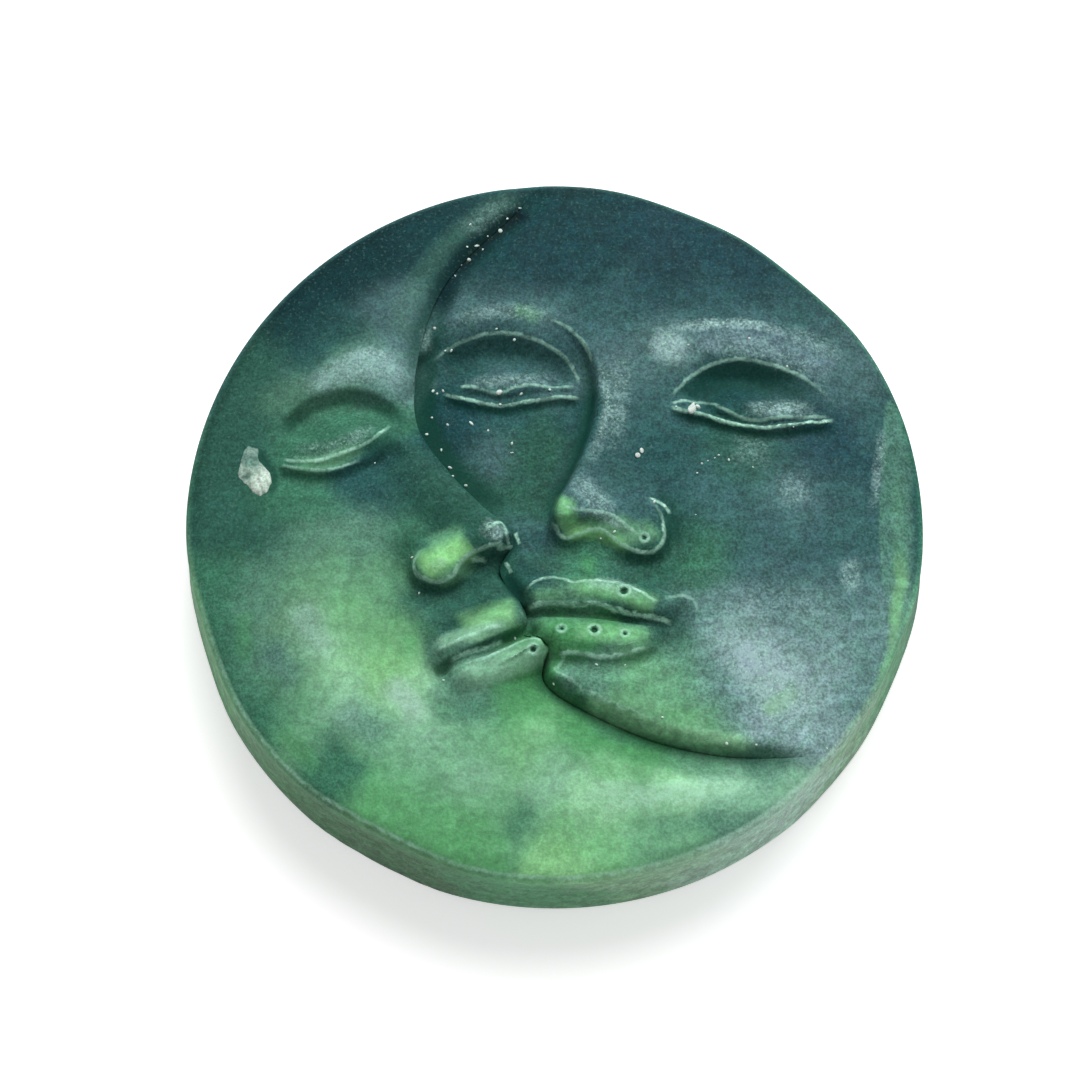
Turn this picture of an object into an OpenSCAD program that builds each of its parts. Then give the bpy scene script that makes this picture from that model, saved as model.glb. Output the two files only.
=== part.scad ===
// Shaving soap puck with a sun face and a moon face in relief, cast in separate pours of soap.
// Millimetres. Z is up, the puck lies on its flat back and the foreheads point to +Y.
// All outlines are drawn for a 75 mm puck and scaled in plan to the chosen diameter.

/* [Puck] */
// Widest diameter of the puck
puck_d = 75; // [60:1:90]
// Height of the rim above the table
rim_z = 11; // [9:0.5:16]
// Height of the seam between the base pour and the two face pours
seam_z = 8; // [5:0.5:9]
// Rounding of the bottom edge
foot_round = 1.5; // [0.5:0.1:3]
// How far the side wall leans in from the foot to the rim
wall_draft = 0.5; // [0:0.1:1.5]

/* [Relief] */
// Rise of the domed face above the rim
crown_rise = 2.6; // [1:0.1:4]
// Depth of all the modelled features, 1 as on the photographed puck
carving = 1; // [0.5:0.05:1.3]
// Height of the roll where the face meets the rim
rim_roll = 1; // [0.4:0.1:2]
// Width of the roll where the face meets the rim
rim_roll_w = 1.6; // [0.8:0.1:4]
// Distance from the middle to the planed facet on the right of the rim
planed_x = 32.2; // [30:0.1:38]
// Fall of the planed facet towards the rim, per millimetre
planed_fall = 0.5; // [0.3:0.05:1.5]
// Depth of the flats trimmed round the side, 1 as on the photographed puck
trimming = 1; // [0.2:0.1:2]

/* [Crumb] */
// Thickness of the soap crumb stuck to the moon's temple
crumb_t = 0.6; // [0.3:0.1:1.5]

/* [Mesh] */
// Steps from one point of the profile to the next
steps_along = 4; // [2:1:4]
// Steps from the profile to the rim on the sun
sun_rows = 34; // [20:2:36]
// Steps from the profile to the rim on the moon
moon_rows = 26; // [16:2:28]

/* [Hidden] */

drawn_d = 75;
plan = puck_d / drawn_d;
rim_r = drawn_d / 2 - wall_draft;
line_steps = 4;

soap_green = [0.36, 0.52, 0.38];
sun_teal = [0.16, 0.33, 0.34];
moon_green = [0.33, 0.58, 0.36];
crumb_pale = [0.76, 0.83, 0.76];

// Flats trimmed round the side: direction in degrees from +X, depth
flats = [[48, 0.7], [66, 0.45], [-24, 0.5], [-40, 0.35], [-118, 0.35], [-162, 0.3]];

// Profile of the moon's face, forehead at the top rim, chin line to the lower right rim
profile = [
    [-1.2, 37], [-4.9, 32.8], [-8.7, 28.8], [-11.4, 25], [-13.2, 20.2], [-14.2, 14], [-13.6, 8.8],
    [-10.6, 4], [-7, 0.1], [-5.2, -1.5], [-4.1, -3.2], [-4.9, -4.7], [-5.4, -6],
    [-4.8, -7.6], [-3.5, -9.2], [-2.7, -11.1], [-3.2, -12.5], [-1.8, -12.9],
    [-0.6, -13.9], [-1.1, -15.3], [-1.1, -17], [0.8, -18.7], [5, -21],
    [10, -23], [16, -24.2], [22, -24.6], [27.5, -24.8]
];

// Brow and bridge of the sun's nose, the edge of its sunken far eye socket
bridge = [
    [-18, 14], [-13.5, 17.6], [-11, 20.4], [-7, 22], [-3, 21.8], [0.5, 20.5], [3, 17.9], [4, 15],
    [4.1, 11.4], [3.2, 7.6], [1.7, 3.7], [0.4, 1.2], [-0.2, -0.9], [0.2, -2.6]
];

// Soft bumps: middle, half axes, turn in degrees, height
sun_bumps = [
    [[20, -4], [15, 17], 0, 0.9],         // cheek
    [[14, 26], [20, 9], -15, 0.5],        // forehead
    [[8, -18.5], [10, 5], -22, 0.9],      // chin
    [[3, -0.5], [4.5, 3.4], 0, 0.7],      // tip of the nose
    [[7.9, -1.3], [4.4, 4.4], 0, 0.9],    // wing of the nose
    [[20.7, 11.8], [8.8, 3.2], -4, 0.8],  // near eyelid
    [[-4.7, 14.8], [7.6, 3], -2, 0.6],    // far eyelid
    [[12, -12.6], [2, 3.6], -8, -0.9]     // corner of the mouth
];
moon_bumps = [
    [[-20, -8], [15, 20], -20, 1],        // cheek
    [[-4, -27], [20, 9], 12, 0.7],        // jaw
    [[-20, 20], [14, 8], 50, 0.5],        // forehead
    [[-21.2, 8.5], [6.4, 3.4], 14, 0.9],  // eyelid
    [[-11, -5.2], [4, 3], 28, 1.15],      // wing of the nose
    [[-6.9, -2.5], [4.5, 2.8], 20, 0.7],  // tip of the nose
    [[-11.4, -16.4], [1.5, 2], 0, -0.9]   // corner of the mouth
];

// Ridges and grooves: line, half width, height, points over which each end fades
sun_ridges = [
    [[[8.5, 16.5], [12, 18.3], [16.5, 19], [21, 18.3], [25.5, 16.1], [29.5, 12.6]], 4, 0.7, 1, 1],
    [[[-13.5, 19], [-8, 20.9], [-3, 20.7], [1, 19], [3.6, 15.8]], 3, 0.5, 1, 1],
    [[[-3.4, -9.4], [-0.4, -8.5], [3, -8.7], [6.6, -9.1], [9.6, -10], [11.8, -11]], 2, 1.25, 0.6, 1],
    [[[-2.4, -12.6], [0.8, -13], [4.2, -13.2], [7.6, -13.4], [10.4, -13.3]], 2.2, 1.2, 0.5, 0.8],
    [[[-3.4, -10.4], [0, -10.4], [4, -10.5], [8, -11.2], [12.2, -11.7]], 0.7, -0.8, 0.1, 0.5]
];
moon_ridges = [
    [[[-28, 10.4], [-25, 13.1], [-21, 14.7], [-17, 14.3], [-14.5, 12.6]], 3.6, 0.6, 1, 0.5],
    [[[-15, 14], [-14, 8.8], [-10.8, 3.7], [-6.6, -0.5], [-4.4, -3.1]], 5, 1.2, 2, 0.1],
    [[[-11.6, -15], [-8.6, -13.8], [-6, -12.2], [-2.8, -11.1]], 2.2, 1.35, 1, 0.1],
    [[[-10.8, -17], [-8, -16.5], [-4.8, -15.6], [-0.8, -14.2]], 2, 1, 0.8, 0.1],
    [[[-12, -16.4], [-10, -15.8], [-7, -14.5], [-4, -13.1], [-2.4, -12.5]], 0.7, -0.8, 0.4, 0.1]
];

// Steps down on the right-hand side of a line: line, drop, where the fall starts before the line
// and ends after it, reach, fade at each end
sun_steps = [
    // front edge of the underside of the nose
    [[[0.2, 0.2], [1.2, -0.4], [2.5, -0.6], [4, -0.6], [5.5, -0.9], [6.8, -1.7], [7.8, -2.6], [8.6, -3]],
      0.5, 0.4, 1.2, 4, 2, 2],
    // outline of the nose and its wing
    [[[-0.6, -1.2], [0.8, -2.8], [2.4, -2.5], [4, -2], [5.4, -2.6], [6.8, -3.8], [8.4, -4.5], [10, -4.3],
      [10.9, -3.2], [10.9, -1.4], [10.2, 0.4], [8.8, 1.7]], 1, 0.4, 1, 4.4, 1, 3],
    // fold of the near eye
    [[[11.8, 12.2], [13, 13.8], [15.4, 15.6], [18.4, 16.5], [21.5, 16], [24.6, 14.8], [27.2, 13],
      [29, 11]], 1.2, 0.4, 2.4, 5.5, 1, 1],
    // lower edge of the near eye
    [[[11.6, 11.1], [14.5, 10.5], [18, 9.4], [21, 8.9], [24.5, 9.4], [28.4, 10.3]],
      0.7, 0.4, 0.9, 3, 0.6, 0.6],
    // fold of the far eye
    [[[-12.5, 16.8], [-9.5, 18.5], [-6.5, 19.3], [-3.4, 19.1], [-0.6, 18], [1.4, 16.4], [2.4, 14.2]],
      0.8, 0.4, 2, 4.5, 0.5, 0.5],
    // lower edge of the far eye
    [[[-11.4, 13.1], [-8.6, 12.3], [-5.3, 11.7], [-2.5, 12.2], [0.3, 12.6], [2.8, 12.6]],
      0.5, 0.4, 0.9, 3, 0.6, 0.6],
    // below the lower lip
    [[[-0.6, -14.2], [2, -14.9], [5, -15.3], [8, -14.8], [10.2, -13.8]], 0.5, 0.3, 0.8, 2.5, 0.5, 0.5]
];
moon_steps = [
    // fold of the eye
    [[[-28, 8], [-26.6, 10.3], [-24.4, 11.9], [-21.6, 12.7], [-18.8, 12.4], [-16.4, 11], [-14.9, 9]],
      0.9, 0.6, 1, 5, 1.2, 1],
    // lower edge of the eye
    [[[-28, 5.2], [-25.6, 4.6], [-23, 4.3], [-20.5, 4.8], [-18, 6], [-15.8, 7.8]],
      0.7, 0.4, 0.9, 3, 0.6, 0.6],
    // under the nose and round its wing
    [[[-13, -3.9], [-14, -5.3], [-13.7, -6.7], [-12.5, -7.5], [-10.9, -7.5], [-9.8, -6.8], [-9.2, -5.7],
      [-8, -4.7], [-6.2, -4.1], [-3.6, -3.8]], 1.3, 0.5, 1, 4, 1.5, 0.2]
];

// Outline of the soap crumb on the moon's temple
crumb_outline = [
    [-30.5, 8], [-29.8, 7.4], [-28.6, 5.2], [-28.2, 4], [-28.5, 2.9], [-29.2, 2.1],
    [-30.8, 3], [-31.7, 4.2], [-31.8, 5], [-31.6, 6.5], [-31, 7.6]
];
crumb_mid = [-30.2, 4.9];
crumb_lean = 0.13;

// Smooth step from 0 at a to 1 at b
function ease(a, b, x) =
    let (t = max(0, min(1, (x - a) / (b - a))))
    t * t * (3 - 2 * t);

// Point k of a list, with the ends repeated
function knot(points, k) = points[max(0, min(len(points) - 1, k))];

// Point at share t of the way from knot k to the next on a smooth curve
function curve_point(points, k, t) =
    let (a = knot(points, k - 1))
    let (b = knot(points, k))
    let (c = knot(points, k + 1))
    let (d = knot(points, k + 2))
    0.5 * (2 * b + (c - a) * t + (2 * a - 5 * b + 4 * c - d) * t ^ 2 + (3 * b - a - 3 * c + d) * t ^ 3);

// Smooth curve through the points, with so many steps between two of them
function curve(points, steps) = [
    for (k = [0 : len(points) - 2])
        for (s = [0 : steps - 1])
            curve_point(points, k, s / steps),
    points[len(points) - 1]
];

// Squared distance from p to one step of a line, place along the line, side of the line
function step_hit(p, a, b, k) =
    let (d = b - a)
    let (v = p - a)
    let (t = max(0, min(1, (v * d) / (d * d))))
    let (q = v - t * d)
    [q * q, k + t, d[0] * v[1] - d[1] * v[0] < 0 ? -1 : 1];

// Distance from p to a line, place along it counted in its own points, side (left is 1)
function nearest(p, line, steps) =
    let (hits = [for (k = [0 : len(line) - 2]) step_hit(p, line[k], line[k + 1], k)])
    let (least = min([for (h = hits) h[0]]))
    let (hit = [for (h = hits) if (h[0] == least) h][0])
    [sqrt(least), hit[1] / steps, hit[2]];

// Whether p lies within reach of the box round a line
function within(p, line, reach) =
    let (xs = [for (q = line) q[0]])
    let (ys = [for (q = line) q[1]])
    p[0] > min(xs) - reach && p[0] < max(xs) + reach && p[1] > min(ys) - reach && p[1] < max(ys) + reach;

// Fade at the two ends of a line of so many points
function end_fade(place, count, first, last) =
    ease(0, first, place) * (1 - ease(count - 1 - last, count - 1, place));

function bump(p, b) =
    let (v = p - b[0])
    let (x = (v[0] * cos(b[2]) + v[1] * sin(b[2])) / b[1][0])
    let (y = (v[1] * cos(b[2]) - v[0] * sin(b[2])) / b[1][1])
    let (left = 1 - x * x - y * y)
    left > 0 ? b[3] * left ^ 1.5 : 0;

function ridge(p, r) =
    !within(p, r[0], r[1]) ? 0 :
    let (hit = nearest(p, curve(r[0], line_steps), line_steps))
    let (q = min(1, hit[0] / r[1]))
    r[2] * (1 - q * q) ^ 1.3 * end_fade(hit[1], len(r[0]), r[3], r[4]);

function drop(p, s) =
    !within(p, s[0], s[4]) ? 0 :
    let (hit = nearest(p, curve(s[0], line_steps), line_steps))
    let (out = -hit[0] * hit[2])
    let (t = max(0, min(1, (out + s[2]) / (s[2] + s[3]))))
    let (fall = 1 - (1 - t ^ 1.3) ^ 2)
    -s[1] * fall * (1 - ease(s[3], s[4], out)) * end_fade(hit[1], len(s[0]), s[5], s[6]);

function total(list) = list * [for (v = list) 1];

function features(p, bumps, ridges, steps) =
    total([for (b = bumps) bump(p, b)])
    + total([for (r = ridges) ridge(p, r)])
    + total([for (s = steps) drop(p, s)]);

// Quarter-round fall over a width, 1 at the edge
function roll(d, width) =
    let (t = max(0, min(1, 1 - d / width)))
    1 - sqrt(1 - t * t);

// Radius of the rim in a direction, less where a flat is trimmed
function rim_at(a) = min([
    rim_r,
    for (f = flats)
        if (cos(a - f[0]) > 0.5) (rim_r - trimming * f[1]) / cos(a - f[0])
]);

// The domed face with its rolled rim
function face_z(p) =
    let (r = norm(p))
    let (crown = crown_rise * (1 - (r / rim_r) ^ 2))
    rim_z + crown - rim_roll * roll(rim_at(atan2(p[1], p[0])) - r, rim_roll_w);

// Raised bridge of the sun's nose, and the far eye socket sunk beside it
function bridge_z(p) =
    let (hit = nearest(p, curve(bridge, line_steps), line_steps))
    let (out = hit[0] * hit[2])
    let (q = max(0, min(1, out / 6.5)))
    let (rise = (0.5 + 1.1 * ease(8, 12, hit[1])) * ease(5, 7.5, hit[1]) * (1 - ease(12, 13, hit[1])))
    let (sunk = 1.4 * ease(22, 15, p[1]) * ease(-2.5, 2, p[1]))
    rise * (1 - q * q) ^ 1.5 * ease(-0.8, 0.8, out) - sunk * (1 - ease(-0.9, 0.6, out));

// Creases of the two faces along the profile, by distance from it and place along it
function sun_crease(d, place) =
    -1 * (1 - ease(0, 3.2, d)) * ease(0, 0.9, place) * (1 - ease(4, 7, place))
    - 0.5 * (1 - ease(0, 1.6, d)) * ease(9, 10.5, place) * (1 - ease(17, 18.5, place))
    - 2.1 * max(0, 1 - d / 2.4) ^ 2.4 * ease(17, 19, place) * (1 - ease(24, 26, place));
function moon_crease(d, place) =
    -0.9 * max(0, 1 - d / 3.5) ^ 1.6 * ease(0, 0.9, place) * (1 - ease(5, 8, place))
    - 0.5 * roll(d, 1.2) * ease(5, 8, place) * (1 - ease(23.5, 25.5, place))
    - 1.6 * (1 - ease(0, 5, d)) * ease(18, 21, place) * (1 - ease(24, 26, place));

// Flat planed on the right of the rim
function planed_z(p) = rim_z + 0.8 - planed_fall * (p[0] - planed_x);

// Flat patch under the crumb, leaning with the dome
function crumb_seat(p) = face_z(crumb_mid) + 0.3 + crumb_lean * ((p - crumb_mid) * [0.98, -0.16]);

function sun_z(p, line) =
    let (hit = nearest(p, line, steps_along))
    let (shape = features(p, sun_bumps, sun_ridges, sun_steps) + bridge_z(p) + sun_crease(hit[0], hit[1]))
    max(seam_z + 1, min(face_z(p) + carving * shape, planed_z(p)));

function moon_z(p, line) =
    let (hit = nearest(p, line, steps_along))
    let (shape = features(p, moon_bumps, moon_ridges, moon_steps) + moon_crease(hit[0], hit[1]))
    let (seat = 1 - ease(4.6, 6.6, norm(p - crumb_mid)))
    max(seam_z + 1, (face_z(p) + carving * shape) * (1 - seat) + crumb_seat(p) * seat);

// Point moved out or in to the rim
function onto_rim(p) = p * rim_at(atan2(p[1], p[0])) / norm(p);

// Profile sampled for the mesh, with its two ends moved onto the rim
function profile_line() =
    let (n = len(profile) - 1)
    curve([onto_rim(profile[0]), for (k = [1 : n - 1]) profile[k], onto_rim(profile[n])], steps_along);

// Length of the line up to each of its points
function lengths(line) = [
    for (k = 0, run = 0; k < len(line); k = k + 1, run = run + norm(knot(line, k) - knot(line, k - 1)))
        run
];

// Points of the rim from the first to the last point of the line, turning by the given angle.
// Each one's share of the turn lies between the share of points and the share of length.
function rim_line(line, turn) =
    let (n = len(line) - 1)
    let (run = lengths(line))
    let (start = atan2(line[0][1], line[0][0]))
    let (share = [for (k = [0 : n]) 0.5 * k / n + 0.5 * run[k] / run[n]])
    [for (s = share) let (a = start + turn * s) rim_at(a) * [cos(a), sin(a)]];

// Solid between the profile and the rim: modelled top, vertical walls and flat bottom.
// The two lines meet at both ends. A clockwise rim flips the faces.
// Each cell is split along the diagonal whose ends differ less in height, so edges stay crisp.
module pour(line, rim, rows, tops, clockwise) {
    n = len(line) - 1;
    wide = rows + 1;
    inner = [for (k = [1 : n - 1]) for (j = [0 : rows]) line[k] + (rim[k] - line[k]) * j / rows];
    flat = [line[0], line[n], each inner];
    low = len(flat);
    bottom = [line[0], line[n], for (k = [1 : n - 1]) line[k], for (k = [1 : n - 1]) rim[k]];
    points = [
        for (p = flat) [p[0] * plan, p[1] * plan, tops(p)],
        for (p = bottom) [p[0] * plan, p[1] * plan, seam_z]
    ];
    last = 2 + (n - 2) * wide;
    top_faces = [
        for (j = [0 : rows - 1]) [0, 2 + j, 3 + j],
        for (j = [0 : rows - 1]) [1, last + j + 1, last + j],
        for (k = [0 : n - 3])
            for (j = [0 : rows - 1])
                let (a = 2 + k * wide + j)
                let (b = a + wide)
                let (one = abs(points[a][2] - points[b + 1][2]))
                let (other = abs(points[b][2] - points[a + 1][2]))
                each one < other ? [[a, b, b + 1], [a, b + 1, a + 1]] : [[a, b, a + 1], [b, b + 1, a + 1]]
    ];
    inner_low = low + 2;
    outer_low = low + 1 + n;
    walls = [
        [0, low, inner_low, 2],
        [0, 2 + rows, outer_low, low],
        [1, last, inner_low + n - 2, low + 1],
        [1, low + 1, outer_low + n - 2, last + rows],
        for (k = [0 : n - 3])
            let (a = 2 + k * wide)
            each [
                [a, inner_low + k, inner_low + k + 1, a + wide],
                [a + rows, a + wide + rows, outer_low + k + 1, outer_low + k]
            ]
    ];
    under = [
        [low, outer_low, inner_low],
        [low + 1, inner_low + n - 2, outer_low + n - 2],
        for (k = [0 : n - 3])
            each [
                [outer_low + k, outer_low + k + 1, inner_low + k + 1],
                [outer_low + k, inner_low + k + 1, inner_low + k]
            ]
    ];
    faces = [each top_faces, each walls, each under];
    turned = [for (f = faces) [for (k = [len(f) - 1 : -1 : 0]) f[k]]];
    polyhedron(points, clockwise ? faces : turned, 10);
}

// Backing pour with the flat underside, turned and then trimmed by flats that lean like the wall
module base_slab() {
    foot = puck_d / 2;
    wall_z = foot_round + 1;
    lean = atan2(wall_draft * plan, seam_z - wall_z);
    color(soap_green)
        difference() {
            rotate_extrude($fn = 180) {
                polygon([
                    [0, 0], [foot - foot_round, 0], [foot - foot_round, foot_round], [foot, foot_round],
                    [foot, wall_z], [rim_r * plan, seam_z], [0, seam_z]
                ]);
                intersection() {
                    translate([foot - foot_round, foot_round])
                        circle(foot_round, $fn = 48);
                    translate([foot - foot_round, 0])
                        square(foot_round);
                }
            }
            for (f = flats)
                rotate([0, 0, f[0]])
                    translate([foot - trimming * f[1] * plan, 0, wall_z])
                        rotate([0, -lean, 0])
                            translate([0, -foot, -2 * seam_z])
                                cube([foot, 2 * foot, 4 * seam_z]);
        }
}

// Right-hand pour with the frontal sun face
module sun_face() {
    line = profile_line();
    end = line[len(line) - 1];
    turn = atan2(end[1], end[0]) - atan2(line[0][1], line[0][0]);
    color(sun_teal)
        pour(line, rim_line(line, turn), sun_rows, function (p) sun_z(p, line), true);
}

// Left-hand pour with the moon's face in three-quarter view
module moon_crescent() {
    line = profile_line();
    end = line[len(line) - 1];
    turn = 360 + atan2(end[1], end[0]) - atan2(line[0][1], line[0][0]);
    color(moon_green)
        pour(line, rim_line(line, turn), moon_rows, function (p) moon_z(p, line), false);
}

// Pale flake lying on the flat patch of the moon's temple
module soap_crumb() {
    n = len(crumb_outline);
    outer = crumb_outline;
    inner = [for (p = outer) crumb_mid + (p - crumb_mid) * 0.72];
    points = [
        for (p = outer) [p[0] * plan, p[1] * plan, crumb_seat(p)],
        for (p = inner) [p[0] * plan, p[1] * plan, crumb_seat(p) + crumb_t]
    ];
    sides = [for (k = [0 : n - 1]) [k, k + n, (k + 1) % n + n, (k + 1) % n]];
    split = [for (s = sides) each [[s[0], s[1], s[2]], [s[0], s[2], s[3]]]];
    low = [for (k = [0 : n - 1]) k];
    high = [for (k = [n - 1 : -1 : 0]) k + n];
    color(crumb_pale)
        polyhedron(points, [for (f = [each split, low, high]) [for (k = [len(f) - 1 : -1 : 0]) f[k]]], 10);
}

base_slab();
sun_face();
moon_crescent();
soap_crumb();
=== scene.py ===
# Shaving soap puck with a sun and a moon face in relief. The relief is drawn in mm and built in metres.
import math
import bpy
import bmesh
import numpy as np
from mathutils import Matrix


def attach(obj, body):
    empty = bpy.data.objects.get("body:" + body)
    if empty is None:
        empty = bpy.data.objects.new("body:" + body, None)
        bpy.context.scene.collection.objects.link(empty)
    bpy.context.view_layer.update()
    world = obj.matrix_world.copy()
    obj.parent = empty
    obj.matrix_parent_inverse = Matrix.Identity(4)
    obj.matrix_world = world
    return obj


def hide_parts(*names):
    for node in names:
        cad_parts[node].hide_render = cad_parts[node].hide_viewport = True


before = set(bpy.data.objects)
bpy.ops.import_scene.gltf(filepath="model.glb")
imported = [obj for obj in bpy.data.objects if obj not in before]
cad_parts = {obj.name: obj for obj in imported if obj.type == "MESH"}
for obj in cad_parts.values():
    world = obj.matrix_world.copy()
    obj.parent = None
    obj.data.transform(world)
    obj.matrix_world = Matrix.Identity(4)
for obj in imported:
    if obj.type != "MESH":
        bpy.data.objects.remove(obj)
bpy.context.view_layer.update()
mm = 0.001
print("frame loaded:", len(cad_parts), "nodes")


def srgb(r, g, b):
    # colours are written as they look on screen
    return tuple(((c + 0.055) / 1.055) ** 2.4 if c > 0.04045 else c / 12.92 for c in (r, g, b))


# relief maths

lineSteps = 10  # steps between two drawn points of a feature line
fineSteps = 40  # the same for the profile that the pours are lofted from

# how features of the faces are shaped and shaded
touch = dict(
    bumpPower=1.5, ridgePower=1.3, dropPower=1.3, hollowShade=0.12, grooveShade=0.2, softEnds=(0.7, 0.7),
    dropShade=(-0.05, 0.25), dropShadeHold=0.3, dropLine=0.15, rimReach=1.2, rimShadeCut=0.7,
    lineFade=(0.6, 1.0), pitHole=(0.5, 1.15), pitShade=(0.6, 1.1), pitReach=1.5, pitRing=1.4,
    pitWearGlint=0.5, pitPen=2,
)


def ease(low, high, x):
    t = np.clip((x - low) / (high - low), 0.0, 1.0)
    return t * t * (3.0 - 2.0 * t)


def curveThrough(points, steps):
    drawn = np.array(points, float)
    padded = np.vstack([drawn[:1], drawn, drawn[-1:]])
    t = (np.arange(steps) / steps)[:, None]
    runs = []
    for k in range(len(drawn) - 1):
        a, b, c, d = padded[k:k + 4]
        runs.append(0.5 * (2 * b + (c - a) * t + (2 * a - 5 * b + 4 * c - d) * t ** 2
                           + (3 * b - a - 3 * c + d) * t ** 3))
    return np.vstack(runs + [drawn[-1:]])


def nearestOn(xy, line, steps):
    # distance to the line, place along it counted in drawn points, side (left is +1)
    gap = np.full(len(xy), 1e9)
    place = np.zeros(len(xy))
    side = np.ones(len(xy))
    for k in range(len(line) - 1):
        run = line[k + 1] - line[k]
        v = xy - line[k]
        t = np.clip(v @ run / (run @ run), 0.0, 1.0)
        d = np.hypot(v[:, 0] - t * run[0], v[:, 1] - t * run[1])
        closer = d < gap
        gap[closer] = d[closer]
        place[closer] = (k + t[closer]) / steps
        turn = run[0] * v[:, 1] - run[1] * v[:, 0]
        side[closer] = np.where(turn[closer] < 0, -1.0, 1.0)
    return gap, place, side


def stretch(place, start, full, fading, end):
    # 1 along a stretch of a line, eased in and out
    return ease(start, full, place) * (1.0 - ease(fading, end, place))


def endFade(place, count, first, last):
    return stretch(place, 0.0, first, count - 1 - last, count - 1)


def hitsNear(xy, points, reach):
    # the points in reach of a drawn line, and where they lie beside it
    line = curveThrough(points, lineSteps)
    near = np.all((xy > line.min(0) - reach) & (xy < line.max(0) + reach), axis=1)
    return near, nearestOn(xy[near], line, lineSteps)


def bumpShape(xy, middle, axes, turn):
    v = xy - np.array(middle)
    c, s = math.cos(math.radians(turn)), math.sin(math.radians(turn))
    x = (v[:, 0] * c + v[:, 1] * s) / axes[0]
    y = (v[:, 1] * c - v[:, 0] * s) / axes[1]
    return np.clip(1.0 - x * x - y * y, 0.0, 1.0) ** touch["bumpPower"]


def ridgeShape(xy, line, halfWidth, fade):
    shape = np.zeros(len(xy))
    near, (gap, place, _) = hitsNear(xy, line, halfWidth)
    q = np.clip(gap / halfWidth, 0.0, 1.0)
    shape[near] = (1.0 - q * q) ** touch["ridgePower"] * endFade(place, len(line), *fade)
    return shape


def roll(gap, width):
    # quarter round at an edge, 1 at the edge itself
    t = np.clip(1.0 - gap / width, 0.0, 1.0)
    return 1.0 - np.sqrt(1.0 - t * t)


def cloud(xy, cell, seed):
    # smooth value noise, -1 to 1, that repeats after 64 cells
    lattice = np.random.RandomState(seed).uniform(-1.0, 1.0, (64, 64))
    p = xy / cell + 1000.0  # keeps the cells positive
    i = np.floor(p).astype(int)
    f = p - i
    f = f * f * (3.0 - 2.0 * f)
    ix, iy = i[:, 0] % 64, i[:, 1] % 64
    jx, jy = (ix + 1) % 64, (iy + 1) % 64
    low = lattice[ix, iy] * (1 - f[:, 0]) + lattice[jx, iy] * f[:, 0]
    high = lattice[ix, jy] * (1 - f[:, 0]) + lattice[jx, jy] * f[:, 0]
    return low * (1 - f[:, 1]) + high * f[:, 1]


# the disc

puck = dict(
    footRadius=37.49, rimRadius=37.0, rimHeight=11.0, seamHeight=8.0, footRound=1.5, wallStart=2.5,
    crownRise=2.6, rimRoll=1.0, rimRollWidth=1.6, highest=15.55, leastPour=1.0,
    planedX=32.2, planedFall=0.5, planedRise=0.8, planedBlend=(-0.04, 0.08),
    # flats trimmed round the side: direction in degrees, depth
    flats=[(48, 0.7), (66, 0.45), (-24, 0.5), (-40, 0.35), (-118, 0.35), (-162, 0.3)],
    cornerWear=2.2,  # the higher, the crisper the corners of the flats
    flatLimit=0.5,  # least cosine of the turn from a flat
)

# moon's profile, from the top rim down the face to the chin line and the lower right rim
profile = [
    (-1.2, 37), (-4.9, 32.8), (-8.7, 28.8), (-11.4, 25), (-13.2, 20.2), (-14.2, 14), (-13.6, 8.8),
    (-10.6, 4), (-7, 0.1), (-5.2, -1.5), (-4.1, -3.2), (-4.9, -4.7), (-5.4, -6),
    (-4.8, -7.6), (-3.5, -9.2), (-2.7, -11.1), (-3.2, -12.5), (-1.8, -12.9),
    (-0.6, -13.9), (-1.1, -15.3), (-1.1, -17), (0.8, -18.7), (5, -21),
    (10, -23), (16, -24.2), (22, -24.6), (27.5, -24.8),
]


def radiusAt(angle, radius):
    # radius in a direction, less where a flat is trimmed
    over = np.ones(np.shape(angle))
    for direction, depth in puck["flats"]:
        c = np.maximum(np.cos(angle - math.radians(direction)), puck["flatLimit"])
        over = over + np.exp(puck["cornerWear"] * (radius - (radius - depth) / c))
    return radius - np.log(over) / puck["cornerWear"]


def profileCurve(steps):
    drawn = np.array(profile, float)
    for end in (0, -1):
        x, y = drawn[end]
        drawn[end] *= radiusAt(math.atan2(y, x), puck["rimRadius"]) / math.hypot(x, y)
    return curveThrough(drawn, steps)


def rimGap(xy):
    # distance in from the rim
    return radiusAt(np.arctan2(xy[:, 1], xy[:, 0]), puck["rimRadius"]) - np.hypot(xy[:, 0], xy[:, 1])


def domedFace(xy):
    r = np.hypot(xy[:, 0], xy[:, 1])
    crown = puck["crownRise"] * (1.0 - (r / puck["rimRadius"]) ** 2)
    return puck["rimHeight"] + crown - puck["rimRoll"] * roll(rimGap(xy), puck["rimRollWidth"])


# looks of a point by column: painted shade, facet, distance across the nearest line of each pen, wear and
# painted glint of that line
paintedShadeAt, facetAt, gapAt, wearGlintAt = 0, 1, 2, 5
penCount = 3
noLine = 2.0  # distance that stands for no line


def plainLooks(count):
    looks = np.zeros((count, wearGlintAt + penCount))
    looks[:, gapAt:wearGlintAt] = noLine
    return looks


def drawLine(looks, near, across, worn, pen):
    # keeps the pale line of a pen that is nearest to each point; its strength is wear and painted glint
    # together
    spots = np.flatnonzero(near)
    closer = np.abs(across) < np.abs(looks[spots, gapAt + pen])
    spots, across, worn = spots[closer], across[closer], worn[closer]
    looks[spots, gapAt + pen] = across
    looks[spots, wearGlintAt + pen] = worn * (1.0 - ease(*touch["lineFade"], np.abs(across)))


def paintShade(looks, shade):
    # painted shade: the darkest value given is kept
    looks[:, paintedShadeAt] = np.maximum(looks[:, paintedShadeAt], shade)


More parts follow.
